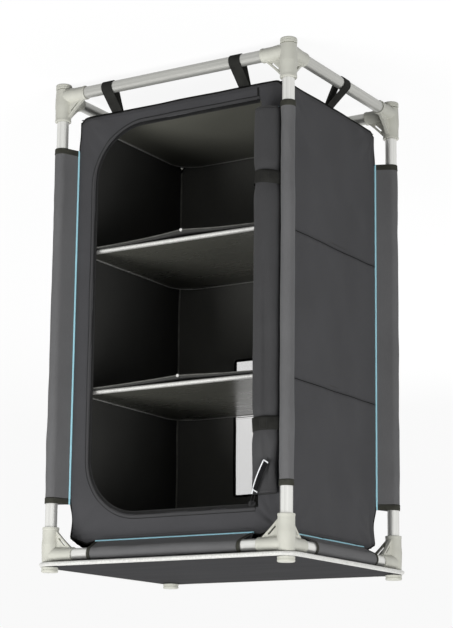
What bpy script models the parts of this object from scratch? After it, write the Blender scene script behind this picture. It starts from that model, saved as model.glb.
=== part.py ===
"""Fabric camp kitchen cupboard on a plug-together aluminium tube frame.

Metres, +Z up.  The origin is the centre of the footprint on the floor, the front
(door) side faces -Y and the left side is at -X.  Eight moulded corner connectors
hold twelve straight tubes.  The fabric box hangs inside the frame: its four corners
are sewn to sleeves round the legs and its upper edges to tunnels round the top rails.
"""
import math

import bmesh
import bpy
from mathutils import Matrix, Vector

# Whole cupboard
TABLE_HEIGHT = 1.040        # floor to the tops of the tabletop knobs
LEG_PITCH_X = 0.554         # leg axis to leg axis, side to side
LEG_PITCH_Y = 0.448         # leg axis to leg axis, front to rear
GAP = 0.0003                # between pieces that touch
CUT_OVERRUN = 0.002         # how far a cutter passes the face that it cuts
SMOOTH_BELOW = math.radians(35)  # faces that meet at less than this are shaded as one

# Tubes
TUBE_D = 0.025
TUBE_WALL = 0.0012
TUBE_SIDES = 16

# Corner connector
SOCKET_D = 0.0335           # upright socket for the leg
SOCKET_REACH = 0.0572       # crossing of the axes to the socket's rim
ARM_D = 0.0290              # level sockets for the rails
ARM_REACH = 0.0600          # crossing of the axes to an arm's rim
RIM_LENGTH = 0.0050         # thicker ring at each mouth
RIM_RAISE = 0.0006
CROWN = 0.0147              # crossing of the axes to the closed end
CROWN_BEVEL = 0.0012
SEAT_WALL = 0.0060          # material between the crown and the leg's end
ARM_FLOOR = 0.0165          # crossing of the axes to the end of a rail's bore
GUSSET_ALONG = 0.0527       # leg axis to the gusset's tip on the arm
GUSSET_DOWN = 0.0460        # rail axis to the gusset's tip on the socket
GUSSET_T = 0.0050
GUSSET_ROOT = 0.0100        # depth of the gusset buried in the arm and in the socket
SLOT_W = 0.0030
SLOT_LENGTH = 0.0240
SLOT_INSET = 0.0055         # gusset's sloping edge to the slot's middle
PLUG_HOLE_CLEARANCE = 0.0004

# Plugs: feet below, knobs on the tabletop
CAP_D = 0.0360
CAP_HEAD = 0.0105
CAP_EDGE = 0.0025           # softened edge, measured along the face
CAP_EDGE_SHARES = (0.25, 0.5)  # where the softened edge bends: inward and upward
CAP_GROOVE = 0.0008
CAP_GROOVE_W = 0.0012
CAP_STEM_D = 0.0120
FOOT_STEM = 0.0120
KNOB_STEM = 0.0180
CAP_SIDES = 16

# Boards and their edge trim
BOARD_T = 0.0070
BOARD_REBATE = 0.0004       # how far each face steps down to enter the trim
TRIM_H = 0.0088
TRIM_NOSE = 0.0044          # how far the trim's round nose stands out from the board
TRIM_LIP = 0.0040           # how far its lips reach over the board
TRIM_WALL = 0.0010
TABLE_OVERHANG = 0.0270     # leg axis to the outer edge of the tabletop's trim
TABLE_CORNER_R = 0.0400
SHELF_FRONT_R = 0.0200
SHELF_REAR_R = 0.0600
CORNER_STEPS = 5

# Fabric box
CLOTH_T = 0.0012
BODY_INSET = 0.0264         # leg axis to the box's outer face
SEAM_DROP = 0.0284          # upper rails' axis to the seam where their tunnels begin
HEM_LIFT = 0.0465           # lower rails' axis to the box's hem
BODY_CORNER_DIP = 0.0100    # how far the box's upper edge falls towards each corner
TUNNEL_END = 0.0950         # leg axis to the end of a rail tunnel
CORNER_ROUND = 0.0060
ROOF_DROP = 0.0030          # panel's corner to the roof cloth's upper face
PIPING_D = 0.0030           # corded seam between the box and its sleeves
PIPING_STEPS = 4
BARE_LEG_TOP = 0.0562       # upper socket's rim to the sleeve
BARE_LEG_BOTTOM = 0.0603    # sleeve to the lower socket's rim
SLEEVE_LOOSE = 0.0012       # tube to the sleeve's inner face
SLEEVE_SEAM = 0.0040        # width sewn flat where the two layers meet
SLEEVE_ARC_STEPS = 10

# Door opening, zip and rear window
STILE_LEFT_W = 0.0506       # side of the box to the opening
STILE_RIGHT_W = 0.0581
OPENING_HEAD = 0.0600       # upper seam to the opening
OPENING_SILL = 0.0420       # hem to the opening
OPENING_R = 0.1100
OPENING_HINGE_R = 0.0060
OPENING_STEPS = 8
ZIP_TAPE_W = 0.0100
ZIP_TAPE_T = 0.0022
WINDOW_HALF_W = 0.0960
WINDOW_HEAD = 0.1320        # upper seam to the window
WINDOW_H = 0.3000
WINDOW_R = 0.0140
WINDOW_FILM_T = 0.0006
WINDOW_STEPS = 4

# Rolled door and its two straps
ROLL_D = 0.0530
ROLL_FROM_OPENING = 0.0300  # opening's left edge to the middle of the roll
ROLL_TOP_INSET = 0.0120     # opening's upper edge to the roll's top
ROLL_FOOT_INSET = 0.0270    # opening's lower edge to the roll's foot
ROLL_EDGE = 0.0018          # step where the rolled cloth ends
ROLL_EDGE_TURN = math.radians(-70)
ROLL_SIDES = 24
ROLL_STATIONS = 30
ROLL_END_DRAW = 0.0030      # how far the roll narrows at its foot
ROLL_END_LENGTH = 0.0450
ROLL_TOP_DEPTH = 0.0100     # the roll lies flat to the panel at its top
ROLL_TOP_WIDTH = 0.0620
ROLL_TOP_SHIFT = 0.0116     # how far its flat end spreads towards the opening
ROLL_TOP_LENGTH = 0.1150
STRAP_W = 0.0270
STRAP_T = 0.0014
STRAP_UPPER_INSET = 0.1300  # roll's top to the middle of the upper strap
STRAP_LOWER_INSET = 0.1440  # roll's foot to the middle of the lower strap
STRAP_SIDES = 24

# Zip slider and its pull, which lies over the flat top of the rolled door
SLIDER_INSET = 0.0120       # opening's left edge to the middle of the slider
SLIDER_L = 0.0160
SLIDER_W = 0.0110
SLIDER_T = 0.0040
SLIDER_TOP_SHARE = 0.8
SLIDER_NOSE_SHARE = 0.6
BRIDGE_R = 0.0024           # inner radius of the arch that holds the pull
BRIDGE_WIRE = 0.0012
BRIDGE_W = 0.0016
BRIDGE_STEPS = 6
PULL_T = 0.0012
PULL_TAB_W = 0.0054
PULL_TAB_L = 0.0120
PULL_HOLE_W = 0.0026
PULL_HOLE_L = 0.0054
PULL_L = 0.0960
PULL_W = 0.0120
PULL_FLARE = 0.0040
PULL_ACROSS = 0.0500        # how far the pull's end lies to the left of the slider
PULL_PLAY = 0.0010          # rolled door to the pull's end

# Shelves
FLOOR_BOARD_RISE = 0.0120   # hem to the top of the floor board's trim
LOWER_SHELF_RISE = 0.2880   # and from there to the lower shelf's
UPPER_SHELF_RISE = 0.3000   # and to the upper shelf's
SHELF_SIDE_PLAY = 0.0060    # inner face of the box to the edge of a board's trim
SLING_SAG = 0.0140
SLING_ACROSS = 8
SLING_ALONG = 3

# Straps that tie the box to the bottom rails
TIE_W = 0.0270
TIE_T = 0.0016
TIE_LOOSE = 0.0003
TIE_FROM_MIDDLE = 0.1570    # middle of the cupboard to each strap on the long sides
TIE_SEAM = 0.0060
TIE_ROOT = 0.0080           # box's inner face to the strap's stitched end

# Places worked out from the sizes above
LEG_X = LEG_PITCH_X / 2
LEG_Y = LEG_PITCH_Y / 2
TUBE_R = TUBE_D / 2
LOW_CROSS_Z = CAP_HEAD + GAP + CROWN
HIGH_CROSS_Z = TABLE_HEIGHT - CAP_HEAD - GAP - TRIM_H - GAP - CROWN
SEAM_Z = HIGH_CROSS_Z - SEAM_DROP
BODY_BOTTOM_Z = LOW_CROSS_Z + HEM_LIFT
BODY_X = LEG_X - BODY_INSET
BODY_Y = LEG_Y - BODY_INSET
INNER_X = BODY_X - CLOTH_T
INNER_Y = BODY_Y - CLOTH_T
ROOF_Z = SEAM_Z - BODY_CORNER_DIP - ROOF_DROP
SLEEVE_TOP_Z = HIGH_CROSS_Z - SOCKET_REACH - BARE_LEG_TOP
SLEEVE_BOTTOM_Z = LOW_CROSS_Z + SOCKET_REACH + BARE_LEG_BOTTOM
OPENING_LEFT_X = STILE_LEFT_W - BODY_X
OPENING_RIGHT_X = BODY_X - STILE_RIGHT_W
OPENING_TOP_Z = SEAM_Z - OPENING_HEAD
OPENING_BOTTOM_Z = BODY_BOTTOM_Z + OPENING_SILL
WINDOW_TOP_Z = SEAM_Z - WINDOW_HEAD
WINDOW_BOTTOM_Z = WINDOW_TOP_Z - WINDOW_H
ROLL_X = OPENING_LEFT_X - ROLL_FROM_OPENING
ROLL_TOP_Z = OPENING_TOP_Z - ROLL_TOP_INSET
ROLL_BOTTOM_Z = OPENING_BOTTOM_Z + ROLL_FOOT_INSET
STRAP_UPPER_Z = ROLL_TOP_Z - STRAP_UPPER_INSET
STRAP_LOWER_Z = ROLL_BOTTOM_Z + STRAP_LOWER_INSET
FLOOR_BOARD_TOP_Z = BODY_BOTTOM_Z + FLOOR_BOARD_RISE
LOWER_SHELF_TOP_Z = FLOOR_BOARD_TOP_Z + LOWER_SHELF_RISE
UPPER_SHELF_TOP_Z = LOWER_SHELF_TOP_Z + UPPER_SHELF_RISE
FLOOR_CLOTH_Z = FLOOR_BOARD_TOP_Z - TRIM_H - GAP - CLOTH_T
ROLL_Y = -(BODY_Y + GAP + ROLL_D / 2)
ROLL_CINCH = STRAP_T + GAP
ZIP_TRACK_Y = -(INNER_Y + ZIP_TAPE_T)
SLIDER_X = OPENING_LEFT_X + SLIDER_INSET
SLIDER_AT = (SLIDER_X, ZIP_TRACK_Y - GAP, OPENING_TOP_Z + ZIP_TAPE_W / 2)
PULL_STANDOFF = BRIDGE_R / 2
CORNERS = {"fl": (-1, -1), "fr": (1, -1), "rr": (1, 1), "rl": (-1, 1)}

# Finishes: colour, roughness, metallic
FINISHES = {
    "tube_aluminium": ((0.80, 0.80, 0.78), 0.32, 1.0),
    "connector_plastic": ((0.69, 0.70, 0.64), 0.45, 0.0),
    "board_dark": ((0.055, 0.056, 0.050), 0.30, 0.0),
    "trim_aluminium": ((0.82, 0.82, 0.80), 0.28, 1.0),
    "cloth_grey": ((0.075, 0.075, 0.078), 0.90, 0.0),
    "webbing_black": ((0.028, 0.028, 0.027), 0.85, 0.0),
    "zip_black": ((0.020, 0.020, 0.020), 0.50, 0.0),
    "slider_metal": ((0.55, 0.55, 0.55), 0.35, 1.0),
    "pull_tape": ((0.40, 0.41, 0.42), 0.80, 0.0),
    "window_film": ((0.72, 0.70, 0.68), 0.35, 0.0),
}


def clear_scene():
    for obj in list(bpy.data.objects):
        bpy.data.objects.remove(obj, do_unlink=True)


def finish(name):
    material = bpy.data.materials.get(name)
    if material is None:
        colour, roughness, metallic = FINISHES[name]
        material = bpy.data.materials.new(name)
        material.use_nodes = True
        shader = material.node_tree.nodes["Principled BSDF"]
        shader.inputs["Base Color"].default_value = (*colour, 1.0)
        shader.inputs["Roughness"].default_value = roughness
        shader.inputs["Metallic"].default_value = metallic
        material.diffuse_color = (*colour, 1.0)
    return material


def to_mesh(bm, name, smooth=True):
    bmesh.ops.recalc_face_normals(bm, faces=bm.faces)
    mesh = bpy.data.meshes.new(name)
    bm.to_mesh(mesh)
    bm.free()
    if smooth:
        mesh.shade_smooth()
        mesh.set_sharp_from_angle(angle=SMOOTH_BELOW)
    return mesh


def place(name, mesh, finish_name, at=(0, 0, 0), turn=(0, 0, 0), parent=None):
    obj = bpy.data.objects.new(name, mesh)
    if not mesh.materials:
        mesh.materials.append(finish(finish_name))
    obj.location = at
    obj.rotation_euler = turn
    bpy.context.scene.collection.objects.link(obj)
    if parent is not None:
        obj.parent = parent
    return obj


def empty(name, at):
    obj = bpy.data.objects.new(name, None)
    obj.location = at
    bpy.context.scene.collection.objects.link(obj)
    return obj


def add_ring(bm, points):
    return [bm.verts.new(point) for point in points]


def bridge(bm, first, second, closed=True):
    count = len(first)
    for i in range(count if closed else count - 1):
        j = (i + 1) % count
        bm.faces.new((first[i], first[j], second[j], second[i]))


def circle(radius, sides, z=0.0, start=0.0):
    turns = (start + math.tau * i / sides for i in range(sides))
    return [Vector((radius * math.cos(a), radius * math.sin(a), z)) for a in turns]


def lathe(bm, profile, sides):
    """Solid of revolution about Z from (radius, z) pairs, both ends closed."""
    rings = [add_ring(bm, circle(radius, sides, z)) for radius, z in profile]
    for low, high in zip(rings, rings[1:]):
        bridge(bm, low, high)
    bm.faces.new(rings[0])
    bm.faces.new(rings[-1])
    return [vert for ring in rings for vert in ring]


def pipe(bm, outer_r, inner_r, length, sides):
    """Open tube along Z, standing on z = 0."""
    outer = [add_ring(bm, circle(outer_r, sides, z)) for z in (0.0, length)]
    inner = [add_ring(bm, circle(inner_r, sides, z)) for z in (0.0, length)]
    bridge(bm, outer[0], outer[1])
    bridge(bm, inner[0], inner[1])
    bridge(bm, outer[0], inner[0])
    bridge(bm, outer[1], inner[1])


def rounded_outline(low, high, radii, steps):
    """Corners in the order low-low, high-low, high-high, low-high, each with its radius."""
    corners = ((low[0], low[1]), (high[0], low[1]), (high[0], high[1]), (low[0], high[1]))
    inward = ((1, 1), (-1, 1), (-1, -1), (1, -1))
    points = []
    for i, ((x, y), (sx, sy), r) in enumerate(zip(corners, inward, radii)):
        start = math.pi + i * math.pi / 2
        for k in range(steps + 1):
            a = start + math.pi / 2 * k / steps
            points.append((x + sx * r + r * math.cos(a), y + sy * r + r * math.sin(a)))
    return points


def plate(loops, thickness):
    """Flat plate in XY with any number of loops, the first of them the outline."""
    bm = bmesh.new()
    edges = []
    for loop in loops:
        verts = [bm.verts.new((x, y, 0.0)) for x, y in loop]
        edges += [bm.edges.new((verts[i], verts[i - 1])) for i in range(len(verts))]
    bmesh.ops.triangle_fill(bm, use_beauty=True, edges=edges)
    grown = bmesh.ops.extrude_face_region(bm, geom=list(bm.faces))
    raised = [item for item in grown["geom"] if isinstance(item, bmesh.types.BMVert)]
    bmesh.ops.translate(bm, verts=raised, vec=(0.0, 0.0, thickness))
    return bm


def evaluated_copy(obj, name):
    depsgraph = bpy.context.evaluated_depsgraph_get()
    mesh = bpy.data.meshes.new_from_object(obj.evaluated_get(depsgraph))
    mesh.name = name
    return mesh


def combine(base, tools):
    """Apply (object, operation) pairs to base in turn and return the finished mesh."""
    for i, (tool, operation) in enumerate(tools):
        modifier = base.modifiers.new(f"{operation.lower()}_{i}", "BOOLEAN")
        modifier.operation = operation
        modifier.solver = "EXACT"
        modifier.object = tool
    mesh = evaluated_copy(base, base.name)
    for obj in [base] + [tool for tool, _ in tools]:
        bpy.data.objects.remove(obj, do_unlink=True)
    return mesh


def shape(bm, name):
    """Unfinished helper solid, used by combine and then removed."""
    bmesh.ops.recalc_face_normals(bm, faces=bm.faces)
    mesh = bpy.data.meshes.new(name)
    bm.to_mesh(mesh)
    bm.free()
    obj = bpy.data.objects.new(name, mesh)
    bpy.context.scene.collection.objects.link(obj)
    return obj


def turned(profile, sides, name, matrix=None):
    bm = bmesh.new()
    lathe(bm, profile, sides)
    if matrix is not None:
        bmesh.ops.transform(bm, matrix=matrix, verts=bm.verts)
    return shape(bm, name)


ALONG_X = Matrix.Rotation(math.pi / 2, 4, "Y")
ALONG_Y = Matrix.Rotation(-math.pi / 2, 4, "X")
DOWNWARD = Matrix.Rotation(math.pi, 4, "X")


def socket_profile(diameter, reach):
    radius = diameter / 2
    return [(radius, 0.0), (radius, reach - RIM_LENGTH),
            (radius + RIM_RAISE, reach - RIM_LENGTH + RIM_RAISE), (radius + RIM_RAISE, reach)]


def gusset(to_arm):
    """Web between the socket and one arm, drawn in XZ and turned to the arm's side."""
    bm = bmesh.new()
    outline = [(GUSSET_ALONG, -ARM_D / 2), (SOCKET_D / 2, -GUSSET_DOWN),
               (SOCKET_D / 2 - GUSSET_ROOT, -GUSSET_DOWN), (SOCKET_D / 2 - GUSSET_ROOT, 0.0),
               (GUSSET_ALONG, 0.0)]
    verts = [bm.verts.new((x, -GUSSET_T / 2, z)) for x, z in outline]
    face = bm.faces.new(verts)
    grown = bmesh.ops.extrude_face_region(bm, geom=[face])
    raised = [item for item in grown["geom"] if isinstance(item, bmesh.types.BMVert)]
    bmesh.ops.translate(bm, verts=raised, vec=(0.0, GUSSET_T, 0.0))
    bmesh.ops.transform(bm, matrix=to_arm, verts=bm.verts)
    return shape(bm, "gusset")


def gusset_slot(to_arm):
    """Cutter for the slot that runs along the gusset's sloping edge."""
    tip = Vector((GUSSET_ALONG, 0.0, -ARM_D / 2))
    heel = Vector((SOCKET_D / 2, 0.0, -GUSSET_DOWN))
    slope = (heel - tip).normalized()
    inward = Vector((slope.z, 0.0, -slope.x))
    middle = (tip + heel) / 2 + inward * SLOT_INSET
    bm = bmesh.new()
    reach = GUSSET_T / 2 + CUT_OVERRUN
    loops = []
    for y in (-reach, reach):
        ring = []
        for along, across in ((-1, -1), (1, -1), (1, 1), (-1, 1)):
            point = middle + slope * along * SLOT_LENGTH / 2 + inward * across * SLOT_W / 2
            ring.append(bm.verts.new((point.x, y, point.z)))
        loops.append(ring)
    bridge(bm, loops[0], loops[1])
    bm.faces.new(loops[0])
    bm.faces.new(loops[1])
    bmesh.ops.transform(bm, matrix=to_arm, verts=bm.verts)
    return shape(bm, "slot")


def connector_mesh():
    """Three-way corner: arms along +X and +Y, leg socket along -Z, closed crown on top."""
    quarter = Matrix.Rotation(math.pi / 2, 4, "Z")
    straight = Matrix.Identity(4)
    radius = SOCKET_D / 2
    upright = [(radius - CROWN_BEVEL, -CROWN), (radius, CROWN_BEVEL - CROWN)]
    upright += socket_profile(SOCKET_D, SOCKET_REACH)[1:]
    base = turned(upright, TUBE_SIDES, "corner_connector", DOWNWARD)
    tools = []
    for along in (ALONG_X, ALONG_Y):
        tools.append((turned(socket_profile(ARM_D, ARM_REACH), TUBE_SIDES, "arm", along), "UNION"))
    for turn in (straight, quarter):
        tools.append((gusset(turn), "UNION"))
    bore_r = TUBE_R + GAP
    leg_bore = [(bore_r, SEAT_WALL - CROWN), (bore_r, SOCKET_REACH + CUT_OVERRUN)]
    tools.append((turned(leg_bore, TUBE_SIDES, "leg_bore", DOWNWARD), "DIFFERENCE"))
    rail_bore = [(bore_r, ARM_FLOOR), (bore_r, ARM_REACH + CUT_OVERRUN)]
    for along in (ALONG_X, ALONG_Y):
        tools.append((turned(rail_bore, TUBE_SIDES, "rail_bore", along), "DIFFERENCE"))
    hole_r = CAP_STEM_D / 2 + PLUG_HOLE_CLEARANCE
    hole = [(hole_r, CROWN - SEAT_WALL - CUT_OVERRUN), (hole_r, CROWN + CUT_OVERRUN)]
    tools.append((turned(hole, TUBE_SIDES, "plug_hole"), "DIFFERENCE"))
    for turn in (straight, quarter):
        tools.append((gusset_slot(turn), "DIFFERENCE"))
    mesh = combine(base, tools)
    mesh.shade_smooth()
    mesh.set_sharp_from_angle(angle=SMOOTH_BELOW)
    return mesh


def build_connectors():
    """One mesh serves all eight: a low corner is a high one turned over on its diagonal."""
    mesh = connector_mesh()
    for label, (sx, sy) in CORNERS.items():
        heading = math.atan2(-sy, -sx) - math.pi / 4
        place(f"top_corner_{label}", mesh, "connector_plastic",
              (sx * LEG_X, sy * LEG_Y, HIGH_CROSS_Z), (0, 0, heading))
        flip = Matrix.Rotation(math.pi, 4, Vector((1, 1, 0)).normalized())
        low = (Matrix.Rotation(heading, 4, "Z") @ flip).to_euler()
        place(f"bottom_corner_{label}", mesh, "connector_plastic",
              (sx * LEG_X, sy * LEG_Y, LOW_CROSS_Z), low)


def tube_mesh(name, length):
    bm = bmesh.new()
    pipe(bm, TUBE_R, TUBE_R - TUBE_WALL, length, TUBE_SIDES)
    return to_mesh(bm, name)


def build_tubes():
    leg_inset = CROWN - SEAT_WALL - GAP
    leg_low = LOW_CROSS_Z - leg_inset
    leg = tube_mesh("leg_tube", HIGH_CROSS_Z + leg_inset - leg_low)
    for label, (sx, sy) in CORNERS.items():
        place(f"leg_tube_{label}", leg, "tube_aluminium", (sx * LEG_X, sy * LEG_Y, leg_low))
    reach_x = LEG_X - ARM_FLOOR - GAP
    reach_y = LEG_Y - ARM_FLOOR - GAP
    long_rail = tube_mesh("long_rail", 2 * reach_x)
    short_rail = tube_mesh("short_rail", 2 * reach_y)
    for level, z in (("bottom", LOW_CROSS_Z), ("top", HIGH_CROSS_Z)):
        for side, y in (("front", -LEG_Y), ("rear", LEG_Y)):
            place(f"{level}_rail_{side}", long_rail, "tube_aluminium",
                  (-reach_x, y, z), (0, math.pi / 2, 0))
        for side, x in (("left", -LEG_X), ("right", LEG_X)):
            place(f"{level}_rail_{side}", short_rail, "tube_aluminium",
                  (x, -reach_y, z), (-math.pi / 2, 0, 0))


def cap_profile(stem):
    """Round plug, head downwards from z = 0, stem upwards."""
    radius = CAP_D / 2
    groove_z = -CAP_HEAD / 2
    inward, upward = (CAP_EDGE * share for share in CAP_EDGE_SHARES)
    return [(radius - CAP_EDGE, -CAP_HEAD), (radius - inward, -CAP_HEAD + upward),
            (radius, groove_z - CAP_GROOVE_W), (radius - CAP_GROOVE, groove_z),
            (radius, groove_z + CAP_GROOVE_W), (radius, 0.0),
            (CAP_STEM_D / 2, 0.0), (CAP_STEM_D / 2, stem)]


def build_feet():
    bm = bmesh.new()
    lathe(bm, cap_profile(FOOT_STEM), CAP_SIDES)
    mesh = to_mesh(bm, "foot_cap")
    for label, (sx, sy) in CORNERS.items():
        place(f"foot_cap_{label}", mesh, "connector_plastic", (sx * LEG_X, sy * LEG_Y, CAP_HEAD))


def edge_path(low, high, radii):
    """Rounded outline as (point, outward normal) pairs."""
    points = rounded_outline(low, high, radii, CORNER_STEPS)
    path = []
    for i, point in enumerate(points):
        corner, k = divmod(i, CORNER_STEPS + 1)
        a = math.pi + corner * math.pi / 2 + math.pi / 2 * k / CORNER_STEPS
        path.append((Vector(point), Vector((math.cos(a), math.sin(a)))))
    return path


def trim_mesh(name, path):
    """Extruded edge profile carried round a board: round nose and two lips."""
    half = TRIM_H / 2
    slit = half - TRIM_WALL
    back = GAP
    nose = [(-TRIM_LIP, half), (back, half)]
    nose += [(back + TRIM_NOSE * math.cos(a), half * math.sin(a))
             for a in (math.pi / 4, 0.0, -math.pi / 4)]
    nose += [(back, -half), (-TRIM_LIP, -half)]
    channel = [(-TRIM_LIP, -slit), (back, -slit), (back, slit), (-TRIM_LIP, slit)]
    profile = nose + channel
    bm = bmesh.new()
    rings = []
    for point, normal in path:
        at = [point + normal * n for n, _ in profile]
        rings.append(add_ring(bm, [(p.x, p.y, z) for p, (_, z) in zip(at, profile)]))
    for i, ring in enumerate(rings):
        bridge(bm, ring, rings[(i + 1) % len(rings)])
    return to_mesh(bm, name)


def board_mesh(name, rim, face, holes):
    """Board with faces of one outline and, between them, a thinner rim that enters the trim."""
    step, shoulder = BOARD_REBATE, BOARD_T - BOARD_REBATE
    levels = ((face, 0.0), (face, step), (rim, step), (rim, shoulder), (face, shoulder),
              (face, BOARD_T))
    bm = bmesh.new()
    walls = [[add_ring(bm, [(x, y, z) for x, y in loop]) for loop, z in levels]]
    for hole in holes:
        walls.append([add_ring(bm, [(x, y, z) for x, y in hole]) for z in (0.0, BOARD_T)])
    for rings in walls:
        for first, second in zip(rings, rings[1:]):
            bridge(bm, first, second)
    for end in (0, -1):
        loops = [rings[end] for rings in walls]
        edges = [bm.edges.get((loop[i - 1], loop[i])) for loop in loops for i in range(len(loop))]
        bmesh.ops.triangle_fill(bm, use_beauty=True, edges=edges)
    return to_mesh(bm, name)


def inset_outline(low, high, radii, inset):
    """Corner points and radii of a rounded outline moved inwards."""
    return ((low[0] + inset, low[1] + inset), (high[0] - inset, high[1] - inset),
            [radius - inset for radius in radii])


def board_pair(name, outer_low, outer_high, radii, z_top, holes, parent):
    """Board with its trim; outer_low and outer_high are the trim's outer corners."""
    rim = inset_outline(outer_low, outer_high, radii, TRIM_NOSE + GAP)
    face = inset_outline(*rim, TRIM_LIP + GAP)
    board = board_mesh(f"{name}_board", rounded_outline(*rim, CORNER_STEPS),
                       rounded_outline(*face, CORNER_STEPS), holes)
    middle_z = z_top - TRIM_H / 2
    origin = parent.location
    place(f"{name}_board", board, "board_dark",
          (-origin.x, -origin.y, middle_z - BOARD_T / 2 - origin.z), parent=parent)
    trim = trim_mesh(f"{name}_trim", edge_path(*rim))
    place(f"{name}_trim", trim, "trim_aluminium",
          (-origin.x, -origin.y, middle_z - origin.z), parent=parent)


def build_tabletop():
    z_top = TABLE_HEIGHT - CAP_HEAD - GAP
    lift = empty("tabletop_lift", (0, 0, z_top))
    half_x = LEG_X + TABLE_OVERHANG
    half_y = LEG_Y + TABLE_OVERHANG
    hole_r = CAP_STEM_D / 2 + GAP
    holes = []
    for sx, sy in CORNERS.values():
        rim = circle(hole_r, CAP_SIDES)
        holes.append([(sx * LEG_X + p.x, sy * LEG_Y + p.y) for p in rim])
    board_pair("tabletop", (-half_x, -half_y), (half_x, half_y), [TABLE_CORNER_R] * 4,
               z_top, holes, lift)
    bm = bmesh.new()
    lathe(bm, cap_profile(KNOB_STEM), CAP_SIDES)
    knob = to_mesh(bm, "tabletop_knob")
    for label, (sx, sy) in CORNERS.items():
        place(f"tabletop_knob_{label}", knob, "connector_plastic",
              (sx * LEG_X, sy * LEG_Y, GAP), (math.pi, 0, 0), parent=lift)


def panel_outline(half_width):
    """Wall of the box in (across, z): level along the rail tunnel, falling to the corners."""
    pitch = LEG_X if half_width > BODY_Y else LEG_Y
    tunnel = pitch - TUNNEL_END
    corner_z = SEAM_Z - BODY_CORNER_DIP
    r = CORNER_ROUND
    return [(-half_width + r, BODY_BOTTOM_Z), (half_width - r, BODY_BOTTOM_Z),
            (half_width, BODY_BOTTOM_Z + r), (half_width, corner_z),
            (tunnel, SEAM_Z), (-tunnel, SEAM_Z),
            (-half_width, corner_z), (-half_width, BODY_BOTTOM_Z + r)]


def opening_outline(grow=0.0):
    low = (OPENING_LEFT_X, OPENING_BOTTOM_Z - grow)
    high = (OPENING_RIGHT_X + grow, OPENING_TOP_Z + grow)
    free_r = OPENING_R + grow
    radii = (OPENING_HINGE_R, free_r, free_r, OPENING_HINGE_R)
    return rounded_outline(low, high, radii, OPENING_STEPS)


def window_outline(shrink=0.0):
    low = (-WINDOW_HALF_W + shrink, WINDOW_BOTTOM_Z + shrink)
    high = (WINDOW_HALF_W - shrink, WINDOW_TOP_Z - shrink)
    return rounded_outline(low, high, [WINDOW_R - shrink] * 4, WINDOW_STEPS)


def build_body():
    upright = (math.pi / 2, 0, 0)
    sideways = (math.pi / 2, 0, math.pi / 2)
    front = plate([panel_outline(BODY_X), opening_outline(ZIP_TAPE_W + GAP)], CLOTH_T)
    place("front_panel", to_mesh(front, "front_panel"), "cloth_grey",
          (0, -INNER_Y, 0), upright)
    rear = plate([panel_outline(BODY_X), window_outline()], CLOTH_T)
    place("rear_panel", to_mesh(rear, "rear_panel"), "cloth_grey", (0, BODY_Y, 0), upright)
    side = to_mesh(plate([panel_outline(INNER_Y - GAP)], CLOTH_T), "side_panel")
    place("side_panel_left", side, "cloth_grey", (-BODY_X, 0, 0), sideways)
    place("side_panel_right", side, "cloth_grey", (INNER_X, 0, 0), sideways)
    film = plate([window_outline(GAP)], WINDOW_FILM_T)
    place("rear_window", to_mesh(film, "rear_window"), "window_film",
          (0, INNER_Y + (CLOTH_T + WINDOW_FILM_T) / 2, 0), upright)
    inner_x = INNER_X - GAP
    inner_y = INNER_Y - GAP
    sheet = rounded_outline((-inner_x, -inner_y), (inner_x, inner_y), [CORNER_ROUND] * 4, 1)
    place("top_panel", to_mesh(plate([sheet], CLOTH_T), "top_panel"), "cloth_grey",
          (0, 0, ROOF_Z - CLOTH_T))
    floor = plate([sheet], CLOTH_T)
    bmesh.ops.translate(floor, verts=floor.verts, vec=(0, 0, FLOOR_CLOTH_Z))
    base = shape(floor, "floor_panel")
    mesh = combine(base, [(tie, "UNION") for tie in tie_straps()])
    place("floor_panel", mesh, "cloth_grey")


def loop_outline(radius, reach, half_width):
    """Cloth round a tube: arc about the origin and two tangents to a seam at +X."""
    distance = math.hypot(reach, half_width)
    touch = math.atan2(half_width, reach) + math.acos(radius / distance)
    sweep = math.tau - 2 * touch
    points = [(reach, half_width)]
    for k in range(SLEEVE_ARC_STEPS + 1):
        a = touch + sweep * k / SLEEVE_ARC_STEPS
        points.append((radius * math.cos(a), radius * math.sin(a)))
    points.append((reach, -half_width))
    return points


def cloth_loop(inner_r, wall, reach, seam, length, corded):
    """Hollow loop of cloth along Z, its two layers sewn together at +X."""
    if corded:
        cord_r = PIPING_D / 2
        neck = math.asin(wall / cord_r)
        middle = reach - cord_r
        reach = middle - cord_r * math.cos(neck)
    outer = loop_outline(inner_r + wall, reach, wall)
    inner = loop_outline(inner_r, reach - seam, GAP)
    bead = []
    if corded:
        for k in range(1, PIPING_STEPS):
            a = neck - math.pi + (math.tau - 2 * neck) * k / PIPING_STEPS
            bead.append((middle + cord_r * math.cos(a), cord_r * math.sin(a)))
    bm = bmesh.new()
    rings = []
    for z in (-length / 2, length / 2):
        outer_ring = add_ring(bm, [(u, v, z) for u, v in outer + bead])
        inner_ring = add_ring(bm, [(u, v, z) for u, v in inner])
        for i in range(len(inner) - 1):
            bm.faces.new((outer_ring[i], outer_ring[i + 1], inner_ring[i + 1], inner_ring[i]))
        bm.faces.new(outer_ring[len(outer) - 1:] + [outer_ring[0], inner_ring[0], inner_ring[-1]])
        rings.append((outer_ring, inner_ring))
    bridge(bm, rings[0][0], rings[1][0])
    bridge(bm, rings[0][1], rings[1][1])
    return bm


def build_leg_sleeves():
    length = SLEEVE_TOP_Z - SLEEVE_BOTTOM_Z
    reach = math.hypot(BODY_INSET, BODY_INSET) - GAP
    bm = cloth_loop(TUBE_R + SLEEVE_LOOSE, CLOTH_T, reach, SLEEVE_SEAM, length, True)
    mesh = to_mesh(bm, "leg_sleeve")
    for label, (sx, sy) in CORNERS.items():
        place(f"leg_sleeve_{label}", mesh, "cloth_grey",
              (sx * LEG_X, sy * LEG_Y, SLEEVE_BOTTOM_Z + length / 2),
              (0, 0, math.atan2(-sy, -sx)))


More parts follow.
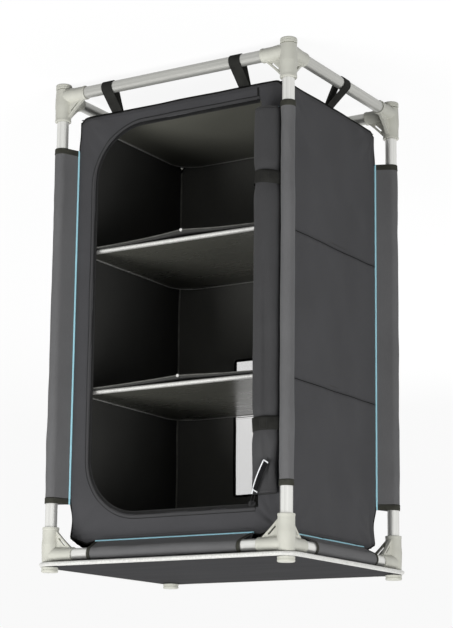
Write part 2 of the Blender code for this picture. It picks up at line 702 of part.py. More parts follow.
def rail_sides(z):
    """The four rails at one height: label, place, direction along, direction inward."""
    return (("front", Vector((0, -LEG_Y, z)), Vector((1, 0, 0)), Vector((0, 1, 0))),
            ("rear", Vector((0, LEG_Y, z)), Vector((-1, 0, 0)), Vector((0, -1, 0))),
            ("left", Vector((-LEG_X, 0, z)), Vector((0, -1, 0)), Vector((1, 0, 0))),
            ("right", Vector((LEG_X, 0, z)), Vector((0, 1, 0)), Vector((-1, 0, 0))))


def frame_turn(along, towards):
    """Rotation that takes local X to towards and local Z to along."""
    side = along.cross(towards)
    return Matrix((towards, side, along)).transposed().to_euler()


def build_rail_tunnels():
    drop = SEAM_Z - HIGH_CROSS_Z
    reach = math.hypot(BODY_INSET, drop) - GAP
    for side, at, along, inward in rail_sides(HIGH_CROSS_Z):
        pitch = LEG_PITCH_X if abs(along.x) > abs(along.y) else LEG_PITCH_Y
        bm = cloth_loop(TUBE_R + SLEEVE_LOOSE, CLOTH_T, reach, SLEEVE_SEAM,
                        pitch - 2 * TUNNEL_END, True)
        towards = (inward * BODY_INSET + Vector((0, 0, drop))).normalized()
        place(f"rail_tunnel_{side}", to_mesh(bm, f"rail_tunnel_{side}"), "cloth_grey",
              at, frame_turn(along, towards))


def tie_straps():
    """Webbing loops from the box's floor cloth round the bottom rails."""
    drop = FLOOR_CLOTH_Z - LOW_CROSS_Z
    ties = []
    for side, at, along, inward in rail_sides(LOW_CROSS_Z):
        long_side = side in ("front", "rear")
        root = inward * (BODY_INSET + CLOTH_T + TIE_ROOT) + Vector((0, 0, drop))
        matrix = frame_turn(along, root.normalized()).to_matrix().to_4x4()
        for shift in ((-TIE_FROM_MIDDLE, TIE_FROM_MIDDLE) if long_side else (0.0,)):
            bm = cloth_loop(TUBE_R + TIE_LOOSE, TIE_T, root.length, TIE_SEAM, TIE_W, False)
            bmesh.ops.transform(bm, verts=bm.verts,
                                matrix=Matrix.Translation(at + along * shift) @ matrix)
            ties.append(shape(bm, "tie_strap"))
    return ties


def strap_share(z):
    """One where a strap presses the roll round, falling to nothing away from it."""
    away = min(abs(z - STRAP_UPPER_Z), abs(z - STRAP_LOWER_Z)) - STRAP_W / 2
    return math.exp(-(max(0.0, away) / (STRAP_W / 2)) ** 2)


def roll_section(z):
    """Half width, half depth and sideways shift of the rolled door at a height."""
    radius = ROLL_D / 2 - ROLL_CINCH * strap_share(z)
    near_foot = max(0.0, 1.0 - (z - ROLL_BOTTOM_Z) / ROLL_END_LENGTH)
    full = radius - ROLL_END_DRAW * near_foot ** 2
    near_top = max(0.0, 1.0 - (ROLL_TOP_Z - z) / ROLL_TOP_LENGTH)
    flat = near_top * near_top * (3 - 2 * near_top)
    half_width = full + (ROLL_TOP_WIDTH / 2 - full) * flat
    half_depth = full + (ROLL_TOP_DEPTH / 2 - full) * flat
    return half_width, half_depth, ROLL_TOP_SHIFT * flat


def roll_stations():
    """Heights of the loft's rings: even steps, with the straps' edges among them."""
    step = (ROLL_TOP_Z - ROLL_BOTTOM_Z) / (ROLL_STATIONS - 1)
    even = [ROLL_BOTTOM_Z + step * k for k in range(ROLL_STATIONS)]
    edges = [z + side * STRAP_W / 2 for z in (STRAP_UPPER_Z, STRAP_LOWER_Z) for side in (-1, 1)]
    kept = [z for z in even if min(abs(z - edge) for edge in edges) > step / 2]
    return sorted(kept + edges)


def build_door_roll():
    """Rolled door: a scroll whose outer edge shows as a step down its length."""
    bm = bmesh.new()
    rings = []
    for z in roll_stations():
        slack = ROLL_EDGE * (1.0 - strap_share(z))
        half_width, half_depth, shift = roll_section(z)
        back = ROLL_D / 2 - ROLL_CINCH * strap_share(z)
        ring = []
        for i in range(ROLL_SIDES):
            share = i / ROLL_SIDES
            a = ROLL_EDGE_TURN + math.tau * share
            x = (half_width - slack * (1.0 - share)) * math.cos(a) + shift
            y = (half_depth - slack * (1.0 - share)) * math.sin(a) + back - half_depth
            ring.append(bm.verts.new((x, y, z)))
        rings.append(ring)
    for low, high in zip(rings, rings[1:]):
        bridge(bm, low, high)
    bm.faces.new(rings[0])
    bm.faces.new(rings[-1])
    place("door_roll", to_mesh(bm, "door_roll"), "cloth_grey", (ROLL_X, ROLL_Y, 0))


def build_door_straps():
    """Webbing bands that hold the door rolled up."""
    inner_r = ROLL_D / 2 - ROLL_CINCH + GAP
    for label, z in (("upper", STRAP_UPPER_Z), ("lower", STRAP_LOWER_Z)):
        bm = bmesh.new()
        pipe(bm, inner_r + STRAP_T, inner_r, STRAP_W, STRAP_SIDES)
        place(f"door_strap_{label}", to_mesh(bm, f"door_strap_{label}"), "webbing_black",
              (ROLL_X, ROLL_Y, z - STRAP_W / 2))


def build_zip_track():
    """Panel's half of the zip round the opening's free edges."""
    outer = opening_outline(ZIP_TAPE_W)
    inner = opening_outline()
    corner = OPENING_STEPS + 1
    free = slice(corner, 3 * corner)
    lead_x = OPENING_LEFT_X + OPENING_HINGE_R
    paths = []
    for source in (outer, inner):
        first = (lead_x, source[corner - 1][1])
        last = (lead_x, source[3 * corner][1])
        paths.append([first] + source[free] + [last])
    tape = plate([paths[0] + paths[1][::-1]], ZIP_TAPE_T)
    place("zip_track", to_mesh(tape, "zip_track"), "zip_black",
          (0, ZIP_TRACK_Y + ZIP_TAPE_T, 0), (math.pi / 2, 0, 0))


def pull_hinge():
    return Vector(SLIDER_AT) + Vector((0, -SLIDER_T - PULL_STANDOFF, 0))


def pull_directions():
    """Hinge axis of the pull, direction down its length, and the slider's arch."""
    hinge = pull_hinge()
    lowest = hinge.z - math.sqrt(PULL_L ** 2 - PULL_ACROSS ** 2)
    out = BODY_Y + GAP + 2 * roll_section(lowest)[1] + PULL_PLAY + hinge.y
    down = -math.sqrt(PULL_L ** 2 - PULL_ACROSS ** 2 - out ** 2)
    along = Vector((-PULL_ACROSS, -out, down)).normalized()
    flat = Vector((-PULL_ACROSS, 0, down)).normalized()
    axis = flat.cross(Vector((0, -1, 0)))
    return axis, along, flat


def build_zip_slider():
    """Slider parked at the end of the zip, with the arch that holds its pull."""
    bm = bmesh.new()
    rows = []
    for y, share in ((0.0, 1.0), (-SLIDER_T / 2, 1.0), (-SLIDER_T, SLIDER_TOP_SHARE)):
        half_l = SLIDER_L / 2 * share
        half_w = SLIDER_W / 2 * share
        nose_w = half_w * SLIDER_NOSE_SHARE
        rows.append(add_ring(bm, [(-half_l, y, -nose_w), (0.0, y, -half_w), (half_l, y, -half_w),
                                  (half_l, y, half_w), (0.0, y, half_w), (-half_l, y, nose_w)]))
    for low, high in zip(rows, rows[1:]):
        bridge(bm, low, high)
    bm.faces.new(rows[0])
    bm.faces.new(rows[-1])
    base = shape(bm, "zip_slider")
    axis, _, flat = pull_directions()
    arch = bmesh.new()
    stations = []
    start = -math.asin(BRIDGE_WIRE / (BRIDGE_R + BRIDGE_WIRE))
    for k in range(BRIDGE_STEPS + 1):
        a = start + (math.pi - 2 * start) * k / BRIDGE_STEPS
        spoke = flat * math.cos(a) + Vector((0, -1, 0)) * math.sin(a)
        ring = []
        for radius, side in ((BRIDGE_R, -1), (BRIDGE_R, 1),
                             (BRIDGE_R + BRIDGE_WIRE, 1), (BRIDGE_R + BRIDGE_WIRE, -1)):
            point = Vector((0, -SLIDER_T, 0)) + spoke * radius + axis * side * BRIDGE_W / 2
            ring.append(arch.verts.new(point))
        stations.append(ring)
    for low, high in zip(stations, stations[1:]):
        bridge(arch, low, high)
    arch.faces.new(stations[0])
    arch.faces.new(stations[-1])
    mesh = combine(base, [(shape(arch, "arch"), "UNION")])
    place("zip_slider", mesh, "slider_metal", SLIDER_AT)


def build_zip_pull():
    """Flat tab with a hole for the slider's arch, widening into a tape; hinge at the origin."""
    axis, along, _ = pull_directions()
    half = PULL_T / 2
    tab = PULL_TAB_W / 2
    tape = PULL_W / 2
    outline = [(-tab, half), (-tab, -PULL_TAB_L), (-tape, -PULL_TAB_L - PULL_FLARE),
               (-tape, -PULL_L), (tape, -PULL_L), (tape, -PULL_TAB_L - PULL_FLARE),
               (tab, -PULL_TAB_L), (tab, half)]
    hole = [(-PULL_HOLE_W / 2, -half), (-PULL_HOLE_W / 2, -half - PULL_HOLE_L),
            (PULL_HOLE_W / 2, -half - PULL_HOLE_L), (PULL_HOLE_W / 2, -half)]
    bm = plate([outline, hole], PULL_T)
    bmesh.ops.translate(bm, verts=bm.verts, vec=(0, 0, -half))
    turn = Matrix((axis, -along, axis.cross(-along))).transposed().to_euler()
    place("zip_pull", to_mesh(bm, "zip_pull"), "pull_tape", pull_hinge(), turn)


def build_shelves():
    inner_x = INNER_X - SHELF_SIDE_PLAY
    inner_y = INNER_Y - SHELF_SIDE_PLAY
    radii = (SHELF_FRONT_R, SHELF_FRONT_R, SHELF_REAR_R, SHELF_REAR_R)
    for name, z_top in (("floor", FLOOR_BOARD_TOP_Z), ("lower_shelf", LOWER_SHELF_TOP_Z),
                        ("upper_shelf", UPPER_SHELF_TOP_Z)):
        lift = empty(f"{name}_lift", (0, 0, z_top))
        board_pair(name, (-inner_x, -inner_y), (inner_x, inner_y), radii, z_top, [], lift)


def build_slings():
    """Cloth under each shelf: sewn level to the side and rear walls, sagging at the hem."""
    half_x = INNER_X - GAP
    half_y = INNER_Y - GAP
    for level, shelf_z in (("lower", LOWER_SHELF_TOP_Z), ("upper", UPPER_SHELF_TOP_Z)):
        top_z = shelf_z - TRIM_H - GAP
        bm = bmesh.new()
        layers = []
        for lift in (0.0, -CLOTH_T):
            rows = []
            for j in range(SLING_ALONG + 1):
                along = j / SLING_ALONG
                row = []
                for i in range(SLING_ACROSS + 1):
                    across = 2 * i / SLING_ACROSS - 1
                    sag = SLING_SAG * (1 - abs(across)) * (1 - along) ** 2
                    row.append(bm.verts.new((across * half_x, (2 * along - 1) * half_y,
                                             top_z + lift - sag)))
                rows.append(row)
            for first, second in zip(rows, rows[1:]):
                bridge(bm, first, second, closed=False)
            layers.append(rows)
        rims = [rows[0] + [row[-1] for row in rows[1:-1]] + rows[-1][::-1]
                + [row[0] for row in rows[-2:0:-1]] for rows in layers]
        bridge(bm, rims[0], rims[1])
        place(f"{level}_shelf_sling", to_mesh(bm, f"{level}_shelf_sling"), "cloth_grey")


def main():
    clear_scene()
    build_connectors()
    build_tubes()
    build_feet()
    build_tabletop()
    build_body()
    build_leg_sleeves()
    build_rail_tunnels()
    build_door_roll()
    build_door_straps()
    build_zip_track()
    build_zip_slider()
    build_zip_pull()
    build_shelves()
    build_slings()


main()
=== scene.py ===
"""Looks of the fabric camp kitchen cupboard: finishes, cloth, stitching and fittings.

Metres, +Z up, front at -Y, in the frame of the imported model.  The reference picture
shows the cupboard upside down, so the main camera is rolled by half a turn.
"""
from math import acos, atan2, ceil, copysign, cos, exp, floor, hypot, pi, radians, sin, sqrt, tau

import bmesh
import bpy
from mathutils import Matrix, Vector, noise


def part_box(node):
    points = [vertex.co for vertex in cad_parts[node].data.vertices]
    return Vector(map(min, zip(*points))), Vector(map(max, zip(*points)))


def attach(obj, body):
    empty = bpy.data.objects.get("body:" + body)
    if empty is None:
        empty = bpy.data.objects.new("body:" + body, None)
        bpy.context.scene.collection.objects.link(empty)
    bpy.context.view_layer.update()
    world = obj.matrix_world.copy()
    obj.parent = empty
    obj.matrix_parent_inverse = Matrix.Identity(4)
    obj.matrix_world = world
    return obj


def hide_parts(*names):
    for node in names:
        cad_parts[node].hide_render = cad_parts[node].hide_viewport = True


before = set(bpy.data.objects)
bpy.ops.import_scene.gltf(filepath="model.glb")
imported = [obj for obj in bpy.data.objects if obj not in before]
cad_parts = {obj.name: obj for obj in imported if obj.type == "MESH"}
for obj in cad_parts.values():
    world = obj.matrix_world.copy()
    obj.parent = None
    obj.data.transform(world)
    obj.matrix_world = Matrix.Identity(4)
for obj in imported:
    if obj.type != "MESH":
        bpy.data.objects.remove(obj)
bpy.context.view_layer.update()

ROOT = "frame_and_box"
LABELS = {"fl": (-1, -1), "fr": (1, -1), "rr": (1, 1), "rl": (-1, 1)}

# Camera of the reference picture
PHOTO_H = 628
FOCAL_PX = 1880.1
SENSOR = 36.0
CAMERA_AT = (-2.0438, -3.2925, 1.3694)
CAMERA_YAW = radians(31.819)
CAMERA_PITCH = radians(11.612)
CAMERA_ROLL = radians(0.665 + 180.0)
CAMERA_SHIFT_PX = 40.0


def vec(x, y, z=0.0):
    return Vector((x, y, z))


def middle(node):
    low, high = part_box(node)
    return (low + high) / 2


def extent(node):
    low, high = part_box(node)
    return high - low


# Frame sizes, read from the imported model
LEG_X = middle("leg_tube_fr").x
LEG_Y = middle("leg_tube_rr").y
TUBE_R = extent("leg_tube_fl").x / 2
LOW_Z = middle("bottom_rail_front").z
HIGH_Z = middle("top_rail_front").z
CAP_R = extent("foot_cap_fl").x / 2
TUBE_WALL = 0.0012
ARM_FLOOR = 0.0168
SOCKET_R = 0.01675
SOCKET_REACH = 0.0572
ARM_R = 0.0145
ARM_REACH = 0.0600
SOCKET_RIM = 0.0052
CROWN = 0.0147
SEAT_WALL = 0.0060
GAP = 0.0003

# Box sizes
BODY_X = extent("front_panel").x / 2
BODY_Y = -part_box("front_panel")[0].y
CLOTH_T = 0.0012
THIN_CLOTH = 0.0010
SEAM_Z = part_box("front_panel")[1].z
HEM_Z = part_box("front_panel")[0].z
ROOF_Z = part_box("top_panel")[1].z
FLOOR_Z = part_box("floor_panel")[1].z
SLEEVE_LOW_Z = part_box("leg_sleeve_fl")[0].z
SLEEVE_HIGH_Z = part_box("leg_sleeve_fl")[1].z
OPENING_LEFT = -0.2000
OPENING_RIGHT = 0.1925
OPENING_TOP = 0.9170
OPENING_BOTTOM = 0.1140
OPENING_R = 0.1100
OPENING_HINGE_R = 0.0060
EASE_X = 0.0042
EASE_Z = 0.0018
ZIP_TAPE_W = 0.0100
SHELF_ZS = {"upper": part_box("upper_shelf_trim")[1].z, "lower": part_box("lower_shelf_trim")[1].z}
FRONT = vec(0, -1)
UP = vec(0, 0, 1)

# Outward direction, direction along, half length and distance from the middle of each wall
WALLS = {
    "front": (FRONT, vec(1, 0), BODY_X, BODY_Y),
    "rear": (vec(0, 1), vec(-1, 0), BODY_X, BODY_Y),
    "left": (vec(-1, 0), vec(0, -1), BODY_Y, BODY_X),
    "right": (vec(1, 0), vec(0, 1), BODY_Y, BODY_X),
}


# Colours and materials

def srgb(*values):
    """Linear colour from the 0 to 255 values of a screen."""
    shares = [value / 255 for value in values]
    return [s / 12.92 if s <= 0.04045 else ((s + 0.055) / 1.055) ** 2.4 for s in shares]


def grey(value):
    return srgb(value, value, value)


class Nodes:
    """A node tree under construction, with short calls for the nodes that it needs."""

    def __init__(self, owner, shader="Principled BSDF"):
        owner.use_nodes = True
        self.owner = owner
        self.tree = owner.node_tree
        self.shader = self.tree.nodes[shader]

    def feed(self, node, ordered, named):
        """Give inputs their values, or links from the outputs of other nodes."""
        pairs = list(zip(node.inputs, ordered))
        pairs += [(node.inputs[key.replace("_", " ")], value) for key, value in named.items()]
        for socket, value in pairs:
            if isinstance(value, bpy.types.NodeSocket):
                self.tree.links.new(value, socket)
            else:
                socket.default_value = value

    def add(self, kind, output, *ordered, **named):
        node = self.tree.nodes.new("ShaderNode" + kind)
        self.feed(node, ordered, named)
        return node.outputs[output]

    def finish(self, **named):
        self.feed(self.shader, (), named)
        return self.owner

    def space(self, scale=(1.0, 1.0, 1.0), cloth=False):
        """The object's own coordinates or the cloth's map in metres, times a scale."""
        if cloth:
            source = self.add("UVMap", "UV")
            source.node.uv_map = "cloth"
        else:
            source = self.add("TexCoord", "Object")
        return self.add("Mapping", "Vector", Vector=source, Scale=scale)

    def noise(self, vector, scale, detail=3.0, roughness=0.5):
        return self.add("TexNoise", "Fac", Vector=vector, Scale=scale, Detail=detail,
                        Roughness=roughness)

    def wave(self, vector, scale, direction="X"):
        bands = self.add("TexWave", "Fac", Vector=vector, Scale=scale)
        bands.node.bands_direction = direction
        return bands

    def maths(self, operation, *values):
        result = self.add("Math", "Value", *values)
        result.node.operation = operation
        return result

    def blend(self, first, second, share):
        return self.maths("ADD", self.maths("MULTIPLY", first, 1 - share),
                          self.maths("MULTIPLY", second, share))

    def spread(self, value, low, high):
        """Map a 0 to 1 value to the range from low to high."""
        return self.add("MapRange", "Result", Value=value, To_Min=low, To_Max=high)

    def tint(self, value, colour, dark, light, span=(0.3, 0.7)):
        """Colour that goes from a dark to a light shade of itself as a value rises."""
        ramp = self.add("ValToRGB", "Color", Fac=value)
        for element, at, factor in zip(ramp.node.color_ramp.elements, span, (dark, light)):
            element.position = at
            element.color = [part * factor for part in colour] + [1.0]
        return ramp

    def bump(self, height, strength, distance=0.0001, **below):
        return self.add("Bump", "Normal", Height=height, Strength=strength, Distance=distance,
                        **below)

    def to_lens(self):
        """One for rays from the camera and from mirrors and glass, nought for the others."""
        total = self.add("LightPath", "Is Camera Ray")
        paths = total.node.outputs
        for kind in ("Is Glossy Ray", "Is Transmission Ray"):
            total = self.maths("MAXIMUM", total, paths[kind])
        return total


def new_nodes(name):
    return Nodes(bpy.data.materials.new(name))


def woven(name, colour, yarn=0.0009, roughness=0.85, uneven=0.10, sheen=0.08):
    """Plain weave of crossed yarns, in the map that gives the cloth's own metres."""
    nodes = new_nodes(name)
    cloth = nodes.space(cloth=True)
    warp, weft = [nodes.maths("SUBTRACT", nodes.wave(cloth, 0.5 / yarn, axis), 0.5)
                  for axis in ("X", "Y")]
    weave = nodes.maths("MULTIPLY_ADD", nodes.maths("MULTIPLY", warp, weft), 2.0, 0.5)
    patches = nodes.noise(nodes.space(), 9.0, 4.0)
    slubs = nodes.noise(nodes.space((900.0, 60.0, 1.0), cloth=True), 1.0, 2.0)
    tone = nodes.blend(patches, slubs, 0.4)
    relief = nodes.bump(weave, 0.35, yarn * 0.5)
    relief = nodes.bump(slubs, 0.15, yarn * 0.4, Normal=relief)
    return nodes.finish(Base_Color=nodes.tint(tone, colour, 1 - uneven, 1 + uneven),
                        Roughness=roughness, Normal=relief, Sheen_Weight=sheen,
                        Sheen_Roughness=0.5, Specular_IOR_Level=0.12)


def webbing(name, colour, rib=0.0009):
    """Narrow strap with herringbone ribs along its length."""
    nodes = new_nodes(name)
    strap = nodes.space(cloth=True)
    height = nodes.blend(nodes.wave(strap, 0.5 / rib), nodes.wave(strap, 0.35 / rib, "DIAGONAL"),
                         0.4)
    wear = nodes.noise(nodes.space(), 60.0)
    return nodes.finish(Base_Color=nodes.tint(wear, colour, 0.85, 1.25, (0.3, 0.75)),
                        Roughness=0.75, Normal=nodes.bump(height, 0.6, 0.0004),
                        Specular_IOR_Level=0.06)


def anodised(name, colour, roughness, metallic, grain=(900.0, 900.0, 6.0), strength=0.10,
             streak=0.65):
    """Drawn aluminium with fine lines along the object's Z."""
    nodes = new_nodes(name)
    lines = nodes.noise(nodes.space(grain), 1.0, 3.0, 0.6)
    bands = nodes.noise(nodes.space([value / 5 for value in grain]), 1.0, 2.0)
    rough = nodes.spread(nodes.noise(nodes.space(), 22.0), roughness - 0.05, roughness + 0.07)
    tint = nodes.tint(nodes.blend(lines, bands, streak), colour, 0.84, 1.10, (0.36, 0.64))
    return nodes.finish(Base_Color=tint, Metallic=metallic, Roughness=rough,
                        Normal=nodes.bump(lines, strength))


def moulded(name, colour, roughness=0.42):
    """Injection-moulded plastic with a fine spark-eroded grain."""
    nodes = new_nodes(name)
    grain = nodes.noise(nodes.space(), 2600.0, 2.0)
    cloud = nodes.noise(nodes.space(), 40.0)
    return nodes.finish(Base_Color=nodes.tint(cloud, colour, 0.96, 1.02),
                        Roughness=nodes.spread(cloud, roughness - 0.05, roughness + 0.06),
                        Normal=nodes.bump(grain, 0.12), Specular_IOR_Level=0.45)


def laminate(name, colour, roughness, specular):
    """Dark board face with a fine speckle and faint wipe marks."""
    nodes = new_nodes(name)
    speckle = nodes.noise(nodes.space(), 1400.0, 2.0)
    wipes = nodes.noise(nodes.space((6.0, 30.0, 6.0)), 1.0)
    return nodes.finish(Base_Color=nodes.tint(speckle, colour, 0.85, 1.15, (0.35, 0.65)),
                        Roughness=nodes.spread(wipes, roughness - 0.04, roughness + 0.08),
                        Specular_IOR_Level=specular, Normal=nodes.bump(speckle, 0.10))


def plain(name, colour, roughness, scale=300.0, uneven=0.08, relief=(0.2, 0.0001), **more):
    """Small fitting or film: even colour broken by noise in tone and relief."""
    nodes = new_nodes(name)
    cloud = nodes.noise(nodes.space(), scale)
    return nodes.finish(Base_Color=nodes.tint(cloud, colour, 1 - uneven, 1 + uneven),
                        Roughness=roughness, Normal=nodes.bump(cloud, *relief), **more)


MATERIALS = {
    "tube": anodised("tube_aluminium", (0.76, 0.76, 0.73), 0.34, 0.6),
    # Darker copy of the tube finish for the bottom rails: painted shade, as less light reaches them
    # near the floor.
    "rail_painted_shade": anodised("rail_aluminium_painted_shade", (0.50, 0.50, 0.47), 0.36, 0.55),
    "trim": anodised("trim_aluminium", (0.72, 0.72, 0.69), 0.36, 0.4, (300.0, 300.0, 300.0), 0.05,
                     0.2),
    "plastic": moulded("connector_plastic", srgb(198, 198, 188)),
    "table": laminate("table_laminate", srgb(32, 32, 34), 0.66, 0.06),
    "shelf": laminate("shelf_laminate", srgb(80, 80, 74), 0.26, 0.36),
    # Lighter copy of the shelf laminate for the floor board: painted light that makes up for the dim
    # floor of the box.
    "board_painted_light": laminate("laminate_painted_light", srgb(106, 106, 98), 0.30, 0.4),
    "cloth": woven("cloth_grey", srgb(72, 72, 74)),
    "sleeve": woven("sleeve_grey", srgb(104, 104, 105)),
    # Darker copy of the grey cloth for the inner sides of the walls and for the slings: painted shade
    # inside the box.
    "inside_painted_shade": woven("cloth_inside_painted_shade", srgb(60, 60, 58)),
    # Lighter copy of the grey cloth for the inside of the rear wall: painted light.
    "rear_inside_painted_light": woven("cloth_rear_painted_light", srgb(108, 108, 104)),
    "door": woven("door_grey", srgb(68, 68, 69)),
    "edging": woven("edging_grey", srgb(72, 72, 73), 0.0008),
    "piping": woven("piping_blue", srgb(172, 224, 238), 0.0008, 0.6, 0.05, 0.1),
    "binding": webbing("binding_dark", srgb(22, 22, 21)),
    "sleeve_end": webbing("binding_olive", srgb(64, 64, 58)),
    "welt": webbing("welt_grey", srgb(104, 104, 100)),
    # Welts in the inner corners: real seams, with a pale tone that is a painted highlight.
    "inner_welt": webbing("welt_painted_highlight", srgb(160, 160, 154)),
    "strap": webbing("webbing_black", srgb(44, 44, 42), 0.0011),
    "tape": webbing("zip_tape", grey(38), 0.0007),
    "pull": webbing("pull_tape", srgb(26, 26, 27)),
    "thread": plain("thread_grey", srgb(38, 38, 40), 0.7),
    "zip": plain("zip_black", grey(34), 0.5),
    "slider": plain("slider_metal", srgb(36, 36, 37), 0.42, Metallic=0.4),
    "pale": plain("pull_edge", srgb(228, 230, 232), 0.6),
    "rivet": plain("rivet_nickel", (0.80, 0.80, 0.78), 0.2, Metallic=1.0),
    "film": plain("window_film", srgb(226, 221, 217), 0.22, 14.0, 0.03, (0.15, 0.002), Alpha=0.20),
}
SLOTS = {
    "tube_aluminium": ("tube", "rail_painted_shade"),
    "trim_aluminium": ("trim",),
    "connector_plastic": ("plastic",),
    "board_dark": ("table", "shelf", "board_painted_light"),
    "cloth_grey": ("cloth", "sleeve", "inside_painted_shade", "door", "edging", "piping"),
    "webbing_black": ("strap",),
    "zip_black": ("zip", "tape"),
    "slider_metal": ("slider", "rivet"),
    "pull_tape": ("pull", "pale"),
    "window_film": ("film",),
}
SLOT_OF = {material: slot for slot, materials in SLOTS.items() for material in materials}


# Small measures

def spaced(low, high, steps):
    """Even values from low to high, both included."""
    return [low + (high - low) * k / steps for k in range(steps + 1)]


def turns(count):
    return [tau * k / count for k in range(count)]


def arc(radius, start, end, steps, x=0.0, y=0.0):
    return [(x + radius * cos(a), y + radius * sin(a)) for a in spaced(start, end, steps)]


def clamped(value):
    return min(1.0, max(0.0, value))


def smooth_share(low, high, value):
    share = clamped((value - low) / (high - low))
    return share * share * (3 - 2 * share)


def peak(away, width):
    return exp(-(away / width) ** 2)


def wander(point, scale, seed):
    """Smooth noise from -1 to 1 at a point."""
    return noise.noise(Vector(point) * scale + Vector((seed * 7.3, seed * 3.1, seed * 5.7)))


def running(points, closed=False):
    """Distance covered at each point, with one more entry after a closed path's last."""
    total = [0.0]
    for a, b in zip(points, points[1:] + (points[:1] if closed else [])):
        total.append(total[-1] + (b - a).length)
    return total


PATH_STEP = 0.004


def even_points(path, step=PATH_STEP, closed=False):
    """Points at an even spacing along a path."""
    total = running(path, closed)
    path = path + path[:1]
    count = max(2, round(total[-1] / step) + 1)
    out = []
    k = 0
    for target in spaced(0.0, total[-1], count - 1)[:-1 if closed else None]:
        while k < len(total) - 2 and total[k + 1] < target:
            k += 1
        share = (target - total[k]) / max(total[k + 1] - total[k], 1e-9)
        out.append(path[k].lerp(path[k + 1], share))
    return out


def rounded_loop(low, high, radii):
    """Rounded rectangle as points, counter-clockwise from the low-low corner."""
    points = []
    for i, (r, sx, sy) in enumerate(zip(radii, (1, -1, -1, 1), (1, 1, -1, -1))):
        x, y = (low if sx > 0 else high)[0], (low if sy > 0 else high)[1]
        steps = max(3, ceil(r * pi / 2 / PATH_STEP))
        start = pi + i * pi / 2
        points += arc(r, start, start + pi / 2, steps, x + sx * r, y + sy * r)
    return [vec(x, y) for x, y in points]


def headings(path, closed=False):
    """Direction of travel at each point of a path."""
    last = len(path) - 1
    if closed:
        return [path[(i + 1) % len(path)] - path[i - 1] for i in range(len(path))]
    return [path[min(i + 1, last)] - path[max(i - 1, 0)] for i in range(len(path))]


def steady_normals(path):
    """Normals carried along a path without twist."""
    normal = (path[1] - path[0]).orthogonal().normalized()
    out = []
    for ahead in headings(path):
        along = ahead.normalized()
        normal = (normal - along * normal.dot(along)).normalized()
        out.append(normal.copy())
    return out


# Meshes and pieces

def linked(name, data):
    obj = bpy.data.objects.new(name, data)
    bpy.context.scene.collection.objects.link(obj)
    return obj


def piece(name, mesh, material, node=None, body=ROOT, slot=None, at=(0, 0, 0), turn=(0, 0, 0)):
    obj = linked(name, mesh)
    obj.location = at
    obj.rotation_euler = turn
    if not mesh.materials:
        mesh.materials.append(MATERIALS[material])
    if node:
        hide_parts(node)
    slot = slot or SLOT_OF.get(material)
    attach(obj, body)
    return obj


def to_mesh(bm, name):
    mesh = bpy.data.meshes.new(name)
    bm.to_mesh(mesh)
    bm.free()
    mesh.shade_smooth()
    return mesh


def finished(bm, name, angle=40.0):
    """Mesh that faces outward, smooth but for edges sharper than an angle."""
    bmesh.ops.recalc_face_normals(bm, faces=bm.faces)
    mesh = to_mesh(bm, name)
    mesh.set_sharp_from_angle(angle=radians(angle))
    return mesh


def grid_faces(bm, rows, wrap_along=False, wrap_round=False):
    """Quads between rows of vertices, closed along the rows or across them on request."""
    count = len(rows[0])
    for first, second in zip(rows, rows[1:] + (rows[:1] if wrap_along else [])):
        for i in range(count if wrap_round else count - 1):
            k = (i + 1) % count
            bm.faces.new((first[i], first[k], second[k], second[i]))


def skin(bm, rings):
    """Quads round a row of rings, with a face at either end."""
    grid_faces(bm, rings, wrap_round=True)
    bm.faces.new(rings[0])
    bm.faces.new(rings[-1])


def rod(bm, stations):
    """Thin four-sided rod through stations of (centre, two spokes)."""
    skin(bm, [[bm.verts.new(at + first * cos(q) + second * sin(q)) for q in turns(4)]
              for at, first, second in stations])


def map_rows(bm, rows, us, vs):
    """Give the quads of a grid their place on the cloth, in metres."""
    layer = bm.loops.layers.uv.new("cloth")
    spots = {vert: (j, i) for j, row in enumerate(rows) for i, vert in enumerate(row)}
    wraps_i, wraps_j = len(us) > len(rows[0]), len(vs) > len(rows)
    for face in bm.faces:
        pairs = [spots[loop.vert] for loop in face.loops]
        high_j, high_i = max(j for j, _ in pairs), max(i for _, i in pairs)
        for loop, (j, i) in zip(face.loops, pairs):
            loop[layer].uv = (us[i + len(rows[0]) * (wraps_i and i == 0 and high_i > 1)],
                              vs[j + len(rows) * (wraps_j and j == 0 and high_j > 1)])


def cloth_grid(name, points, closed=False):
    """Sheet of cloth from rows of points, with its map in metres."""
    bm = bmesh.new()
    rows = [[bm.verts.new(p) for p in row] for row in points]
    grid_faces(bm, rows, wrap_round=closed)
    map_rows(bm, rows, running(points[len(points) // 2], closed), running([row[0] for row in points]))
    return to_mesh(bm, name)


def grid_of(columns, rows, place):
    """Rows of points from a function of two shares, across and along."""
    return [[place(i / columns, j / rows) for i in range(columns + 1)] for j in range(rows + 1)]


def thicken(obj, thickness, inner=None):
    solid = obj.modifiers.new("cloth_thickness", "SOLIDIFY")
    solid.thickness = thickness
    solid.offset = 0.0
    solid.use_even_offset = True
    if inner:
        obj.data.materials.append(MATERIALS[inner])
        solid.material_offset = 1


def sheet(name, mesh, material, node, width, length,
          thickness=CLOTH_T, inner=None):
    """Cloth piece that stands for a node, with its thickness; its flat size, width and length, is not
    used.
    """
    obj = piece(name, mesh, material, node)
    thicken(obj, thickness, inner)


def round_section(radius, sides=10):
    return arc(radius, 0.0, tau, sides)[:-1]


def flat_section(width, thickness, steps=3):
    """Tape with rounded edges, as (out, across) offsets."""
    r = thickness / 2
    return [(r * sin(a), sign * (width / 2 - r) + r * cos(a)) for sign in (1, -1)
            for a in spaced(-sign * pi / 2, (2 - sign) * pi / 2, steps)]


